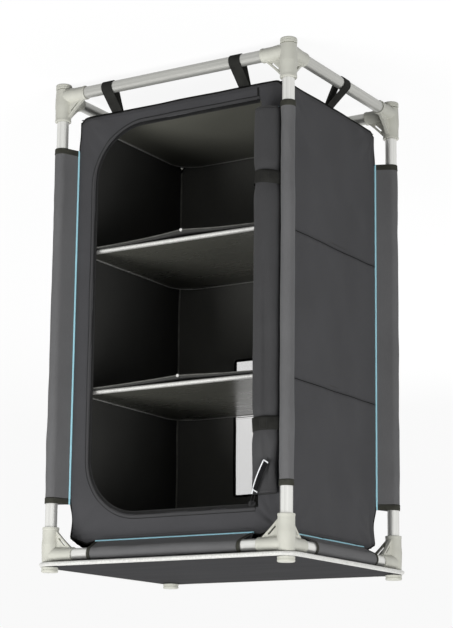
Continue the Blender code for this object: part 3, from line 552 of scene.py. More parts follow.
def strip(name, path, normals, section, material, closed=False, angle=40.0, **how):
    """Piece with a section carried along a path; normals are one for all or one each."""
    if isinstance(normals, Vector):
        normals = [normals] * len(path)
    bm = bmesh.new()
    rows = []
    for point, ahead, normal in zip(path, headings(path, closed), normals):
        along = ahead.normalized()
        out = (normal - along * normal.dot(along)).normalized()
        side = along.cross(out)
        rows.append([bm.verts.new(point + out * x + side * y) for x, y in section])
    grid_faces(bm, rows, wrap_along=closed, wrap_round=True)
    map_rows(bm, rows, running([vec(x, y) for x, y in section], True), running(path, closed))
    if not closed:
        bm.faces.new(rows[0])
        bm.faces.new(rows[-1])
    return piece(name, finished(bm, name, angle), material, **how)


def bead(name, path, radius, material, sides=10, **how):
    return strip(name, path, steady_normals(path), round_section(radius, sides), material,
                 angle=60.0, **how)


STITCH_PITCH = 0.0042
STITCH_LENGTH = 0.0030
STITCH_R = 0.00036


def stitches(name, lines, body=ROOT):
    """Sewn seams as short raised stitches; each line is (points, outward normal or function)."""
    bm = bmesh.new()
    for points, normal in lines:
        spots = even_points(points, STITCH_PITCH)
        for a, b in zip(spots, spots[1:]):
            centre = (a + b) / 2
            along = (b - a).normalized()
            facing = normal(centre) if callable(normal) else normal
            out = (facing - along * facing.dot(along)).normalized()
            side = along.cross(out)
            rod(bm, [(centre + along * STITCH_LENGTH * t + out * STITCH_R * rise,
                      out * STITCH_R * r, side * STITCH_R * r)
                     for t, r, rise in ((-0.5, 0.35, -0.2), (-0.25, 1.0, 0.8), (0.25, 1.0, 0.8),
                                        (0.5, 0.35, -0.2))])
    piece(name, finished(bm, name, 80.0), "thread", body=body)


# Frame: tubes, connectors and plugs

def pipe_mesh(name, length):
    """Tube along +Z from the origin, open at both ends, with its rims broken."""
    inner, chamfer = TUBE_R - TUBE_WALL, 0.0004
    profile = [(inner, chamfer), (inner + chamfer, 0.0), (TUBE_R - chamfer, 0.0), (TUBE_R, chamfer)]
    profile += [(r, length - z) for r, z in reversed(profile)]
    bm = bmesh.new()
    rows = [[bm.verts.new((r * cos(a), r * sin(a), z)) for r, z in profile] for a in turns(48)]
    grid_faces(bm, rows, wrap_along=True, wrap_round=True)
    return finished(bm, name, 30.0)


def build_tubes():
    rails = [f"{level}_rail_{side}" for level in ("top", "bottom") for side in WALLS]
    for node in [f"leg_tube_{label}" for label in LABELS] + rails:
        size, start = extent(node), middle(node)
        axis = max(range(3), key=lambda k: size[k])
        start[axis] -= size[axis] / 2
        # Bottom rails take the darker copy of the tube finish, which is painted shade.
        piece(f"{node}_fine", pipe_mesh(node, size[axis]),
              "rail_painted_shade" if node.startswith("bottom") else "tube", node, at=start,
              turn=((0, pi / 2, 0), (-pi / 2, 0, 0), (0, 0, 0))[axis])


def lathe(bm, profile, sides, matrix=Matrix()):
    skin(bm, [[bm.verts.new(matrix @ vec(r * cos(a), r * sin(a), z)) for a in turns(sides)]
              for r, z in profile])


def turned(profile, matrix=Matrix()):
    """Turned body, as a tool for the connector."""
    bm = bmesh.new()
    lathe(bm, profile, 64, matrix)
    return linked("tool", finished(bm, "tool"))


def extruded(outline, half, matrix):
    """Prism from an outline in XZ, half its depth to either side of Y = 0."""
    bm = bmesh.new()
    skin(bm, [[bm.verts.new(matrix @ vec(p.x, y, p.z)) for p in outline] for y in (-half, half)])
    return linked("tool", finished(bm, "tool"))


def evaluated(obj, tools=()):
    """Mesh of an object with its modifiers; the object and its tools are removed."""
    mesh = bpy.data.meshes.new_from_object(
        obj.evaluated_get(bpy.context.evaluated_depsgraph_get()))
    for used in (obj, *tools):
        bpy.data.objects.remove(used, do_unlink=True)
    return mesh


def socket_profile(radius, reach):
    """Outer side of a socket: root flare, wall and the thicker ring at its mouth."""
    return [(radius + 0.0012, 0.0), (radius + 0.0012, 0.022), (radius + 0.0005, 0.030),
            (radius, 0.036), (radius, reach - SOCKET_RIM),
            (radius + 0.0005, reach - SOCKET_RIM + 0.0006), (radius + 0.0005, reach - 0.0005),
            (radius + 0.0001, reach)]


GUSSET_TIP = 0.0527
GUSSET_HEEL = 0.0490
GUSSET_BOW = 0.0008
RIB_DEPTH = 0.0042
RIB_WIDTH = 0.0074
WEB_WIDTH = 0.0052
SLOT_LENGTH = 0.0225
SLOT_WIDTH = 0.0033


def gusset_parts(turn):
    """Web, raised rib along its sloping edge, and the slot between the two."""
    tip, heel = vec(GUSSET_TIP, 0, -ARM_R), vec(SOCKET_R, 0, -GUSSET_HEEL)
    slope = (heel - tip).normalized()
    inward = vec(slope.z, 0, -slope.x)
    bulge = [tip.lerp(heel, s) + inward * GUSSET_BOW * sin(pi * s) for s in spaced(0.0, 1.0, 8)]
    root = SOCKET_R - 0.010
    corners = [vec(root, 0, -GUSSET_HEEL), vec(root, 0, 0), vec(GUSSET_TIP, 0, 0)]
    rib = bulge + [p + inward * RIB_DEPTH for p in reversed(bulge)]
    centre = (tip + heel) / 2 + inward * (GUSSET_BOW + RIB_DEPTH + SLOT_WIDTH / 2 + 0.0002)
    slot = [centre + inward * out + slope * across
            for out, across in flat_section(SLOT_LENGTH, SLOT_WIDTH, 6)]
    return (extruded(bulge + corners, WEB_WIDTH / 2, turn), extruded(rib, RIB_WIDTH / 2, turn),
            extruded(slot, 0.02, turn))


def connector_mesh():
    """Three-way corner with arms along +X and +Y and its socket along -Z."""
    arms = (Matrix.Rotation(pi / 2, 4, "Y"), Matrix.Rotation(-pi / 2, 4, "X"))
    down = Matrix.Rotation(pi, 4, "X")
    crown = [(SOCKET_R - 0.0020, -CROWN), (SOCKET_R - 0.0002, -CROWN + 0.0018),
             (SOCKET_R + 0.0004, 0.0)]
    base = turned(crown + socket_profile(SOCKET_R, SOCKET_REACH)[1:], down)
    joined = [turned(socket_profile(ARM_R, ARM_REACH), matrix) for matrix in arms]
    slots = []
    for turn in (Matrix(), Matrix.Rotation(pi / 2, 4, "Z")):
        web, rib, slot = gusset_parts(turn)
        joined += [web, rib]
        slots.append(slot)
    bore = TUBE_R + GAP / 2
    cut = [turned([(bore, SEAT_WALL - CROWN), (bore, SOCKET_REACH + 0.002)], down)]
    cut += [turned([(bore, ARM_FLOOR - GAP), (bore, ARM_REACH + 0.002)], matrix) for matrix in arms]
    cut.append(turned([(0.0064, CROWN - SEAT_WALL - 0.002), (0.0064, CROWN + 0.002)]))
    tools = joined + cut + slots
    for tool in tools:
        modifier = base.modifiers.new("tool", "BOOLEAN")
        modifier.operation = "UNION" if tool in joined else "DIFFERENCE"
        modifier.solver = "EXACT"
        modifier.object = tool
    rough = linked("rough", evaluated(base, tools))
    remesh = rough.modifiers.new("voxels", "REMESH")
    remesh.mode = "VOXEL"
    remesh.voxel_size = 0.00048
    remesh.use_smooth_shade = True
    soften = rough.modifiers.new("soften", "SMOOTH")
    soften.factor = 0.5
    soften.iterations = 2
    rough.modifiers.new("fewer", "DECIMATE").ratio = 0.14
    mesh = evaluated(rough)
    mesh.shade_smooth()
    mesh.materials.clear()
    return mesh


def build_connectors():
    mesh = connector_mesh()
    flip = Matrix.Rotation(pi, 4, vec(1, 1).normalized())
    for label, (sx, sy) in LABELS.items():
        heading = Matrix.Rotation(atan2(-sy, -sx) - pi / 4, 4, "Z")
        for level, z, turn in (("top", HIGH_Z, heading), ("bottom", LOW_Z, heading @ flip)):
            node = f"{level}_corner_{label}"
            piece(f"{node}_fine", mesh, "plastic", node, at=(sx * LEG_X, sy * LEG_Y, z),
                  turn=turn.to_euler())


CAP_HEAD = 0.0105


def cap_mesh(name, stem):
    """Round plug: head down from z = 0 with a soft edge and a groove, stem upwards."""
    edge, wide = 0.0024, CAP_R - 0.0008
    profile = [(0.0022, 0.0004 - CAP_HEAD), (0.0030, -CAP_HEAD)]
    profile += arc(edge, -pi / 2, 0.0, 6, wide - edge, edge - CAP_HEAD)
    profile += [(wide, -0.0058), (wide - 0.0009, -0.0052), (wide - 0.0009, -0.0044),
                (wide, -0.0038), (wide, -0.0004), (wide - 0.0004, 0.0), (0.0060, 0.0),
                (0.0060, stem - 0.001), (0.0050, stem)]
    bm = bmesh.new()
    lathe(bm, profile, 64)
    return finished(bm, name, 30.0)


def build_plugs():
    foot, knob = cap_mesh("foot_cap", 0.0120), cap_mesh("tabletop_knob", 0.0180)
    for label in LABELS:
        node = f"foot_cap_{label}"
        at = middle(node)
        at.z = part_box(node)[0].z + CAP_HEAD
        piece(f"{node}_fine", foot, "plastic", node, at=at)
        node = f"tabletop_knob_{label}"
        at = middle(node)
        at.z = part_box(node)[1].z - CAP_HEAD
        piece(f"{node}_fine", knob, "plastic", node, "tabletop", at=at, turn=(pi, 0, 0))


# Boards and their trim

TRIM_NOSE = 0.0044
PLUG_HOLE_R = 0.0063


def board_mesh(name, loop, bottom, top, holes):
    bm = bmesh.new()
    edges = []
    for outline in [loop] + holes:
        verts = [bm.verts.new((p.x, p.y, bottom)) for p in outline]
        edges += [bm.edges.new(pair) for pair in zip(verts, verts[-1:] + verts[:-1])]
    bmesh.ops.triangle_fill(bm, use_beauty=True, edges=edges)
    grown = bmesh.ops.extrude_face_region(bm, geom=list(bm.faces))["geom"]
    raised = [item for item in grown if isinstance(item, bmesh.types.BMVert)]
    bmesh.ops.translate(bm, verts=raised, vec=(0.0, 0.0, top - bottom))
    return finished(bm, name, 30.0)


def trim_section(height, lip):
    """Half-round nose, flat lips over and under the board and the channel between them."""
    half, wall, root = height / 2, 0.0006, 0.0004
    points = [(-lip, half - 0.0002), (-lip + 0.0003, half), (root, half)]
    points += [(root + (TRIM_NOSE - 0.0001) * cos(a), half * sin(a))
               for a in spaced(pi / 2, -pi / 2, 12)[1:-1]]
    return points + [(root, -half), (-lip + 0.0003, -half), (-lip, -half + 0.0002),
                     (-lip, -half + wall), (0.0003, -half + wall), (0.0003, half - wall),
                     (-lip, half - wall)]


def build_board(name, body, material, radii, holes=(), lip=0.0040):
    low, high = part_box(f"{name}_trim")
    edge = TRIM_NOSE + GAP
    loop = rounded_loop((low.x + edge, low.y + edge), (high.x - edge, high.y - edge),
                        [r - edge for r in radii])
    node = f"{name}_board"
    bottom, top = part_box(node)
    board = board_mesh(node, loop, bottom.z, top.z, list(holes))
    piece(f"{node}_fine", board, material, node, body=body)
    normals = [vec(ahead.y, -ahead.x) for ahead in headings(loop, True)]
    strip(f"{name}_trim_fine", [p + UP * (low.z + high.z) / 2 for p in loop], normals,
          trim_section(high.z - low.z, lip), "trim", True, node=f"{name}_trim", body=body)


def build_boards():
    holes = [[vec(x, y) for x, y in arc(PLUG_HOLE_R, 0.0, tau, 32, sx * LEG_X, sy * LEG_Y)[:-1]]
             for sx, sy in LABELS.values()]
    build_board("tabletop", "tabletop", "table", [0.040] * 4, holes, 0.0016)
    # The floor board takes the lighter laminate, which is painted light.
    for name, body, material in (("floor", "floor_board", "board_painted_light"),
                                 ("lower_shelf", "lower_shelf", "shelf"),
                                 ("upper_shelf", "upper_shelf", "shelf")):
        build_board(name, body, material, (0.020, 0.020, 0.060, 0.060))


# Cloth box

def corner_inset(z):
    """How far the box's upright edges are drawn in at a height."""
    return (0.0045 * sin(pi * smooth_share(SLEEVE_HIGH_Z - 0.008, SEAM_Z, z))
            + 0.0022 * smooth_share(SEAM_Z - 0.05, SEAM_Z, z)
            + 0.0016 * smooth_share(SLEEVE_LOW_Z, SLEEVE_LOW_Z - 0.04, z))


# Rise of a wall's upper edge over the seam, by distance from the corner
TOP_KNOTS = ((0.0, -0.0090), (0.012, -0.0050), (0.026, -0.0005), (0.044, 0.0050),
             (0.056, 0.0030), (0.066, 0.0))


def wall_half(side):
    return WALLS[side][2] - CLOTH_T * 0.7


def edge_height(side, along, upper):
    """Height of a wall's upper or lower edge."""
    from_corner = wall_half(side) - abs(along)
    if not upper:
        lift = 0.0100 * (1 - smooth_share(0.0, 0.016, from_corner)) ** 2
        wave = wander((along, 0, 0), 14.0, len(side)) * smooth_share(0.0, 0.05, from_corner)
        return HEM_Z + 0.0004 + lift + 0.0016 * wave
    for (a, low), (b, high) in zip(TOP_KNOTS, TOP_KNOTS[1:]):
        if from_corner <= b:
            return SEAM_Z + low + (high - low) * smooth_share(a, b, from_corner)
    return SEAM_Z


def seam_pucker(along, z, seam_z):
    """Dimple and fine puckers round a level seam."""
    fine = peak(z - seam_z, 0.016) * wander((along, 0, seam_z), 95.0, 3)
    return -0.0009 * peak(z - seam_z, 0.010) + 0.0005 * fine


def wall_relief(side, along, z, half):
    """Out-of-plane shape of a wall: slack between the seams, soft pulls and puckers."""
    seed = list(WALLS).index(side) + 1
    relief = (wander((along * 7.0, 0, z * 1.1), 2.2, seed) * 0.0021
              + wander((along * 4.0 + z * 2.0, 0, z * 3.0), 3.4, seed + 9) * 0.0017)
    if side != "front":
        relief += sum(seam_pucker(along, z, seam_z) for seam_z in SHELF_ZS.values())
    relief *= smooth_share(0.0, 0.18, 1 - abs(along) / half)
    relief += 0.0006 * peak(SEAM_Z - z, 0.020) * wander((along, 0, 0), 60.0, seed + 5)
    for corner_z, low in ((HEM_Z, True), (SEAM_Z, False)):
        reach = hypot(half - abs(along), z - corner_z)
        turn = atan2(abs(z - corner_z), half - abs(along))
        fan = wander((turn * 2.6, copysign(1.0, along), reach * 9.0), 1.9, seed + 11 + low)
        relief += 0.0040 * fan * peak(reach, 0.095) * smooth_share(0.004, 0.030, reach)
    return relief


def wall_point(side, along, z, lift=0.0):
    """Point on a wall, by distance along it from its middle and height."""
    out, across, half, depth = WALLS[side]
    inset = corner_inset(z)
    squeezed = along * (1 - inset / half * smooth_share(0.0, half, abs(along)))
    place = depth - CLOTH_T / 2 - inset * smooth_share(half - 0.075, half, abs(along)) + lift
    return across * squeezed + out * (place + wall_relief(side, along, z, half)) + UP * z


def on_wall(side, points, lift):
    return [wall_point(side, p.x, p.y, lift) for p in points]


def plain_wall(side):
    def place(i, j):
        along = wall_half(side) * (2 * i - 1)
        low, high = (edge_height(side, along, upper) for upper in (False, True))
        return wall_point(side, along, low + (high - low) * j)
    return cloth_grid(f"{side}_wall", grid_of(90, 200, place))


def ray_hit(outline, centre, direction):
    """Distance from a centre to a closed outline along a direction."""
    best = None
    for a, b in zip(outline, outline[1:] + outline[:1]):
        a, edge = a - centre, b - a
        cross = direction.x * edge.y - direction.y * edge.x
        if abs(cross) < 1e-12:
            continue
        distance = (a.x * edge.y - a.y * edge.x) / cross
        share = (a.x * direction.y - a.y * direction.x) / cross
        if distance > 0 and -1e-6 <= share <= 1 + 1e-6:
            best = distance if best is None else max(best, distance)
    return best


def wall_outline(side, step=0.006):
    """Outline of a wall in (along, z), counter-clockwise from the lower left."""
    half = wall_half(side)
    level = spaced(-half, half, round(2 * half / step))
    low = [vec(a, edge_height(side, a, False)) for a in level]
    high = [vec(a, edge_height(side, a, True)) for a in reversed(level)]
    rise = round((high[0].y - low[-1].y) / step)
    right = [vec(half, z) for z in spaced(low[-1].y, high[0].y, rise)[1:-1]]
    return low + right + high + [vec(-p.x, p.y) for p in reversed(right)]


def ringed_wall(name, side, hole, rings):
    """Wall with a hole: rings of quads from the hole's outline to the wall's."""
    outer = wall_outline(side)
    centre = sum(hole, vec(0, 0)) / len(hole)
    kept = []
    for turn in sorted({round(atan2((p - centre).y, (p - centre).x), 5) for p in outer + hole}):
        if not kept or turn - kept[-1] > 0.004:
            kept.append(turn)
    bm = bmesh.new()
    layer = bm.loops.layers.uv.new("cloth")
    columns = []
    for turn in kept:
        direction = vec(cos(turn), sin(turn))
        spots = [centre + direction * reach for reach in spaced(
            ray_hit(hole, centre, direction), ray_hit(outer, centre, direction), rings)]
        columns.append([(bm.verts.new(wall_point(side, p.x, p.y)), p.xy) for p in spots])
    for column, following in zip(columns, columns[1:] + columns[:1]):
        for k in range(rings):
            corners = (column[k], column[k + 1], following[k + 1], following[k])
            face = bm.faces.new([vert for vert, _ in corners])
            for loop, (_, spot) in zip(face.loops, corners):
                loop[layer].uv = spot
    return to_mesh(bm, name)


def build_walls():
    width, height = 2 * BODY_X, SEAM_Z - HEM_Z
    grow = ZIP_TAPE_W - 0.0010
    opening = rounded_loop((OPENING_LEFT, OPENING_BOTTOM - grow),
                           (OPENING_RIGHT + EASE_X + grow, OPENING_TOP + EASE_Z + grow),
                           (OPENING_HINGE_R, OPENING_R + grow, OPENING_R + grow, OPENING_HINGE_R))
    # Inner sides of the front and side walls take the darker cloth copy, which is painted shade.
    sheet("front_wall", ringed_wall("front_wall", "front", opening, 16), "cloth", "front_panel",
          width, height, inner="inside_painted_shade")
    low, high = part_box("rear_window")
    hole = rounded_loop((-high.x, low.z), (high.x, high.z), [0.003] * 4)
    # The rear wall's inner side takes the lighter cloth copy, which is painted light.
    sheet("rear_wall", ringed_wall("rear_wall", "rear", hole, 36), "cloth", "rear_panel", width,
          height, inner="rear_inside_painted_light")
    for side in ("left", "right"):
        sheet(f"{side}_wall", plain_wall(side), "cloth", f"side_panel_{side}", 2 * BODY_Y, height,
              inner="inside_painted_shade")


PANE_HEM = 0.004


def build_window():
    low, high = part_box("rear_window")
    half, tall = high.x + PANE_HEM, high.z - low.z + 2 * PANE_HEM

    def place(i, j):
        along, z = half * (2 * i - 1), low.z - PANE_HEM + tall * j
        slack = 0.0010 * wander((along, 0, z), 11.0, 21)
        return wall_point("rear", along, z, -0.0009) + vec(0, slack)
    sheet("window_pane", cloth_grid("window_pane", grid_of(24, 36, place)), "film", "rear_window",
          2 * half, tall, thickness=0.0005)
    for name, lift, width, past in (("outside", 0.0013, 0.0110, PANE_HEM),
                                    ("inside", -0.0018, 0.0050, 0.0016)):
        path = rounded_loop((-high.x - past, low.z - past), (high.x + past, high.z + past),
                            [0.006] * 4)
        strip(f"window_frame_{name}", on_wall("rear", even_points(path, 0.006, True), lift),
              vec(0, 1), flat_section(width, 0.0009), "binding", True)


def build_roof_and_floor():
    half_x, half_y = BODY_X - CLOTH_T * 1.5, BODY_Y - CLOTH_T * 1.5
    for name, node, top_z, sag, uneven in (("roof", "top_panel", ROOF_Z, 0.0030, 0.0008),
                                           ("box_floor", "floor_panel", FLOOR_Z, 0.0, 0.0)):
        def place(i, j):
            x, y = 2 * i - 1, 2 * j - 1
            hang = (1 - x * x) * (1 - y * y)
            ripple = uneven * wander((x * half_x, y * half_y, 0), 9.0, 31) * min(1.0, 4 * hang)
            return vec(x * half_x, y * half_y, top_z - CLOTH_T / 2 - sag * hang + ripple)
        sheet(name, cloth_grid(name, grid_of(60, 48, place)), "cloth", node, 2 * BODY_X, 2 * BODY_Y)


# Sleeves round the legs and tunnels round the rails

SLEEVE_R = TUBE_R + 0.0011
SLEEVE_REACH = vec(LEG_X - BODY_X, LEG_Y - BODY_Y).length - 0.0024
SLEEVE_BAND_W = 0.0122
TUNNEL_BAND_W = 0.0078
SLEEVE_SLIP = {"fl": (-0.0124, 0.0040), "fr": (0.0, 0.0075), "rl": (0.0, 0.0030), "rr": (0.0, 0.0)}
FRONT_TUNNEL_SLIP = 0.0050

# Place, direction and inward direction of each rail
RAILS = {side: (out * (LEG_X if out.x else LEG_Y), along, -out)
         for side, (out, along, _, _) in WALLS.items()}


def teardrop(radius, reach, flank_steps, arc_steps, short=0.0, apart=0.0):
    """Section round a tube: a flank from a seam at +X, an arc about the origin, a flank back."""
    touch = acos(radius / reach)
    flank = [(reach - short + (radius * cos(touch) - reach) * share,
              apart + (radius * sin(touch) - apart) * share)
             for share in spaced(0.0, 1.0, flank_steps)[:-1]]
    return (flank + arc(radius, touch, tau - touch, arc_steps)
            + [(x, -y) for x, y in reversed(flank)])


def sleeve_wrinkle(u, v, length, seed):
    """Soft diagonal pulls from the seam towards the tube."""
    sway = wander((u * 0.8, 0, v * 9.0), 1.0, seed)
    diagonal = wander((u * 1.5 + v * 16.0, 0, v * 7.0 - u * 1.2), 1.3, seed + 3)
    lively = 0.35 + 0.65 * smooth_share(0.25, 0.9, abs(2 * v / length - 1))
    return (0.0010 * sway + 0.0016 * diagonal * lively) * smooth_share(0.2, 0.5, 1 - abs(u))


def build_loop(name, node, at, along, towards, length, seed, skew=(0.0, 0.0), reach=SLEEVE_REACH,
               rows=150, twist=0.0, band_width=SLEEVE_BAND_W):
    """Cloth loop round a tube, its bound ends, its piping and its stitching."""
    section = teardrop(SLEEVE_R, reach, 14, 40)[:-1]
    side = along.cross(towards)
    count = len(section)
    points = []
    for j in range(rows + 1):
        v = length * (j / rows - 0.5)
        turn = twist * (1 - smooth_share(0.0, 0.06, v + length / 2))
        lean = skew[0 if v < 0 else 1] * smooth_share(0.5, 1.0, abs(2 * v / length))
        row = []
        for i, (x, y) in enumerate(section):
            pull = sleeve_wrinkle(1 - min(i, count - i) / (count / 2), v + length / 2, length,
                                  seed + (1 if i < count // 2 else 5))
            scale = 1 + pull / hypot(x, y)
            row.append(at + towards * (x * cos(turn) - y * sin(turn)) * scale
                       + side * (x * sin(turn) + y * cos(turn)) * scale
                       + along * (v + lean * max(0.0, x) / reach))
        points.append(row)

    def spoke(p):
        return (p - at) - along * (p - at).dot(along)

    def resized(row, grow):
        return [p + spoke(p).normalized() * grow for p in row]

    sheet(name, cloth_grid(name, points, True), "sleeve", node, running(points[0], True)[-1],
          length, thickness=THIN_CLOTH)
    bead(f"{name}_piping", [row[0] + towards * 0.0014 for row in points], 0.0021, "piping")
    for end in ("start", "end"):
        band = []
        for k in range(7):
            reach_in = band_width / 6 * k * rows / length
            if end == "end":
                reach_in = rows - reach_in
            whole = min(rows - 1, max(0, floor(reach_in)))
            row = [a.lerp(b, reach_in - whole) for a, b in zip(points[whole], points[whole + 1])]
            band.append(resized(row, 0.0008 if 0 < k < 6 else 0.0005))
        seam = resized(band[5], 0.0005)
        if end == "end":
            band.reverse()
        mesh = cloth_grid(f"{name}_binding_{end}", band, True)
        thicken(piece(f"{name}_binding_{end}", mesh, "sleeve_end"), 0.0008)
        stitches(f"{name}_stitching_{end}", [(seam, spoke)])


def build_leg_sleeves():
    for seed, (label, (sx, sy)) in enumerate(LABELS.items()):
        low, high = SLEEVE_LOW_Z + SLEEVE_SLIP[label][0], SLEEVE_HIGH_Z + SLEEVE_SLIP[label][1]
        towards = vec(-sx * (LEG_X - BODY_X), -sy * (LEG_Y - BODY_Y)).normalized()
        build_loop(f"sleeve_{label}", f"leg_sleeve_{label}",
                   vec(sx * LEG_X, sy * LEG_Y, (low + high) / 2), UP, towards, high - low,
                   seed * 11 + 2, twist=-0.26 if label == "fl" else 0.0)


def build_rail_tunnels():
    for seed, (side, (at, along, inward)) in enumerate(RAILS.items()):
        slip = FRONT_TUNNEL_SLIP if side == "front" else 0.0
        node = f"rail_tunnel_{side}"
        towards = inward * (LEG_X - BODY_X) + UP * (SEAM_Z - HIGH_Z)
        build_loop(f"tunnel_{side}", node, at - along * slip / 2 + UP * HIGH_Z, along,
                   towards.normalized(), abs(extent(node).dot(along)) - slip, seed * 13 + 40,
                   (-0.0085, 0.0060), towards.length - 0.0022, 80, band_width=TUNNEL_BAND_W)


# Seams, bindings and the zip round the opening

SLIDER_X = -0.1880
SLIDER_L = 0.0160


def opening_path(grow):
    """Free edge of the opening in (along, z), from the slider round to its foot."""
    r, start = OPENING_R + grow, SLIDER_X - SLIDER_L / 2
    x = OPENING_RIGHT + EASE_X + grow - r
    low, high = OPENING_BOTTOM - grow, OPENING_TOP + EASE_Z + grow
    steps = ceil(r * pi / 2 / PATH_STEP)
    bends = arc(r, -pi / 2, 0.0, steps, x, low + r) + arc(r, 0.0, pi / 2, steps, x, high - r)
    return even_points([vec(*p) for p in [(start, low)] + bends + [(start, high)]])


def build_zip():
    """Zip tape, its coil and the welt that is sewn round it."""
    def before_wall(grow, lift):
        return [vec(p.x, -BODY_Y - lift, p.y) for p in opening_path(grow)]

    strip("zip_track_fine", before_wall(0.0064, -0.0002), FRONT, flat_section(0.0074, 0.0016),
          "tape", node="zip_track")
    bm = bmesh.new()
    spots = even_points(before_wall(0.0036, 0.0006), 0.0016)
    for a, b in zip(spots, spots[1:]):
        along = (b - a).normalized()
        across = along.cross(FRONT)
        rod(bm, [((a + b) / 2 + across * 0.0013 * t + FRONT * 0.0004 * (1 - abs(t)),
                  FRONT * 0.0005 * r, along * 0.0005 * r)
                 for t, r in ((-1.0, 0.5), (-0.6, 1.0), (0.6, 1.0), (1.0, 0.5))])
    piece("zip_coil", finished(bm, "zip_coil", 60.0), "zip")
    for name, grow, lift, size, material in (
            ("opening_welt", 0.0038, 0.0012, (0.0068, 0.0011), "edging"),
            # Narrow dark strip just outside the welt: painted shade along the welt's edge.
            ("opening_shade_line", 0.0076, 0.0010, (0.0013, 0.0008), "binding")):
        strip(name, on_wall("front", opening_path(ZIP_TAPE_W + grow), lift), FRONT,
              flat_section(*size), material)
    stitches("opening_stitching", [(on_wall("front", opening_path(ZIP_TAPE_W + grow), 0.0018), FRONT)
                                   for grow in (0.0014, 0.0060)])
    tail = [wall_point("front", -0.1925, z, 0.0011) for z in (0.0790, 0.0900, 0.1000, 0.1090)]
    strip("zip_tail", tail, FRONT, flat_section(0.0045, 0.0010), "tape")


def corner_line(sx, sy, low, high):
    """Upright edge of the box where two walls meet."""
    return [vec(sx * (BODY_X - 0.0006 - corner_inset(z)), sy * (BODY_Y - 0.0006 - corner_inset(z)), z)
            for z in spaced(low, high, round((high - low) / 0.006))]


def build_bindings():
    """Folded dark tape on the box's raw edges, and the seams along its walls."""
    for side, (out, _, half, _) in WALLS.items():
        edges = {}
        for upper in (True, False):
            span = wall_half(side)
            edges[upper] = [wall_point(side, a, edge_height(side, a, upper))
                            for a in spaced(-span, span, round(2 * span / 0.005))]
            strip(f"{side}_{'upper' if upper else 'lower'}_binding", edges[upper], out,
                  flat_section(0.0042, 0.0024), "binding")
        lines = [([p + UP * (-dz if upper else dz) + out * 0.0009 for p in edges[upper][2:-2]], out)
                 for dz in (0.0040, 0.0075) for upper in (True, False)]
        if side != "front":
            for name, z in SHELF_ZS.items():
                lines += [([wall_point(side, a, z + dz, 0.0013)
                            for a in spaced(-half * 0.985, half * 0.985, 80)], out)
                          for dz in (-0.0030, 0.0034)]
                seam = [wall_point(side, a, z, 0.0011)
                        for a in spaced(-half * 0.99, half * 0.99, 120)]
                strip(f"{side}_seam_{name}", seam, out, flat_section(0.0016, 0.0012), "binding")
        stitches(f"{side}_stitching", lines)
    for label, (sx, sy) in LABELS.items():
        for part, low, high in (("upper", SLEEVE_HIGH_Z - 0.004, SEAM_Z - 0.010),
                                ("lower", HEM_Z + 0.008, SLEEVE_LOW_Z + 0.004)):
            bead(f"corner_binding_{label}_{part}", corner_line(sx, sy, low, high), 0.0018, "binding")
        # The inner corner welts are real seams; their pale tone is a painted highlight.
        inner = [p - vec(sx, sy) * 0.0030 + vec(wander(p, 18.0, 3), wander(p, 18.0, 7)) * 0.0014
                 for p in corner_line(sx, sy, FLOOR_Z + 0.014, SEAM_Z - 0.016)]
        bead(f"corner_welt_{label}", inner, 0.0019, "inner_welt")


# Rolled door and its straps

STRAP_ZS = {name: middle(f"door_strap_{name}").z for name in ("upper", "lower")}
STRAP_W = 0.0270
ROLL_X = middle("door_strap_lower").x
ROLL_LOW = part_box("door_roll")[0].z
ROLL_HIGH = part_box("door_roll")[1].z
ROLL_R = 0.0265
ROLL_BACK = -(BODY_Y + 0.0004)
ROLL_TURNS = 2.75
VALLEY_AT = radians(-112)
DOOR_WIDTH = OPENING_RIGHT - OPENING_LEFT


def strap_share(z):
    away = min(abs(z - at) for at in STRAP_ZS.values()) - STRAP_W / 2
    return peak(max(0.0, away), STRAP_W / 2)


def roll_section(z):
    """Half width, half depth and sideways shift of the rolled door at a height."""
    full = ROLL_R - 0.0017 * strap_share(z) - 0.0008 * max(0.0, 1 - (z - ROLL_LOW) / 0.045) ** 2
    flat = smooth_share(ROLL_HIGH - 0.115, ROLL_HIGH, z)
    return full + (0.0310 - full) * flat, full + (0.0050 - full) * flat, 0.0116 * flat


def roll_centre(z):
    _, half_depth, shift = roll_section(z)
    return vec(ROLL_X + shift, ROLL_BACK - half_depth, z)


def roll_point(a, z, depth, proud=0.0):
    """Point of the scroll at an angle, a height and a depth below its surface."""
    half_width, half_depth, shift = roll_section(z)
    centre = roll_centre(z)
    wider = 0.0066 * max(0.0, -cos(a)) ** 2 * max(0.0, 1 - shift / 0.0058)
    swell = proud
    if proud == 0.0:
        turn = (a - VALLEY_AT + pi) % tau - pi
        dent = smooth_share(0.36, 0.60, z) * smooth_share(ROLL_HIGH, ROLL_HIGH - 0.06, z)
        swell = (0.0012 * wander((cos(a) * 0.6, sin(a) * 0.6, z * 5.0), 1.6, 51)
                 + 0.0006 * wander((a * 1.2, 0, z * 22.0), 1.1, 53)
                 - 0.0056 * peak(turn, 0.24) * dent) * (1 - 0.9 * strap_share(z))
    share = 1 - depth / half_width
    x = centre.x + ((half_width + wider) * share + swell) * cos(a)
    y = centre.y + (half_depth * share + swell) * sin(a)
    return vec(min(x, OPENING_LEFT + 0.0110), min(y, ROLL_BACK - 0.0003), z)


def door_ends(s):
    """Foot and head of the door's cloth at a distance from its hinge."""
    into = max(0.0, s - (DOOR_WIDTH - OPENING_R))
    bite = OPENING_R - sqrt(max(0.0, OPENING_R ** 2 - into ** 2))
    return ROLL_LOW + bite, ROLL_HIGH - bite


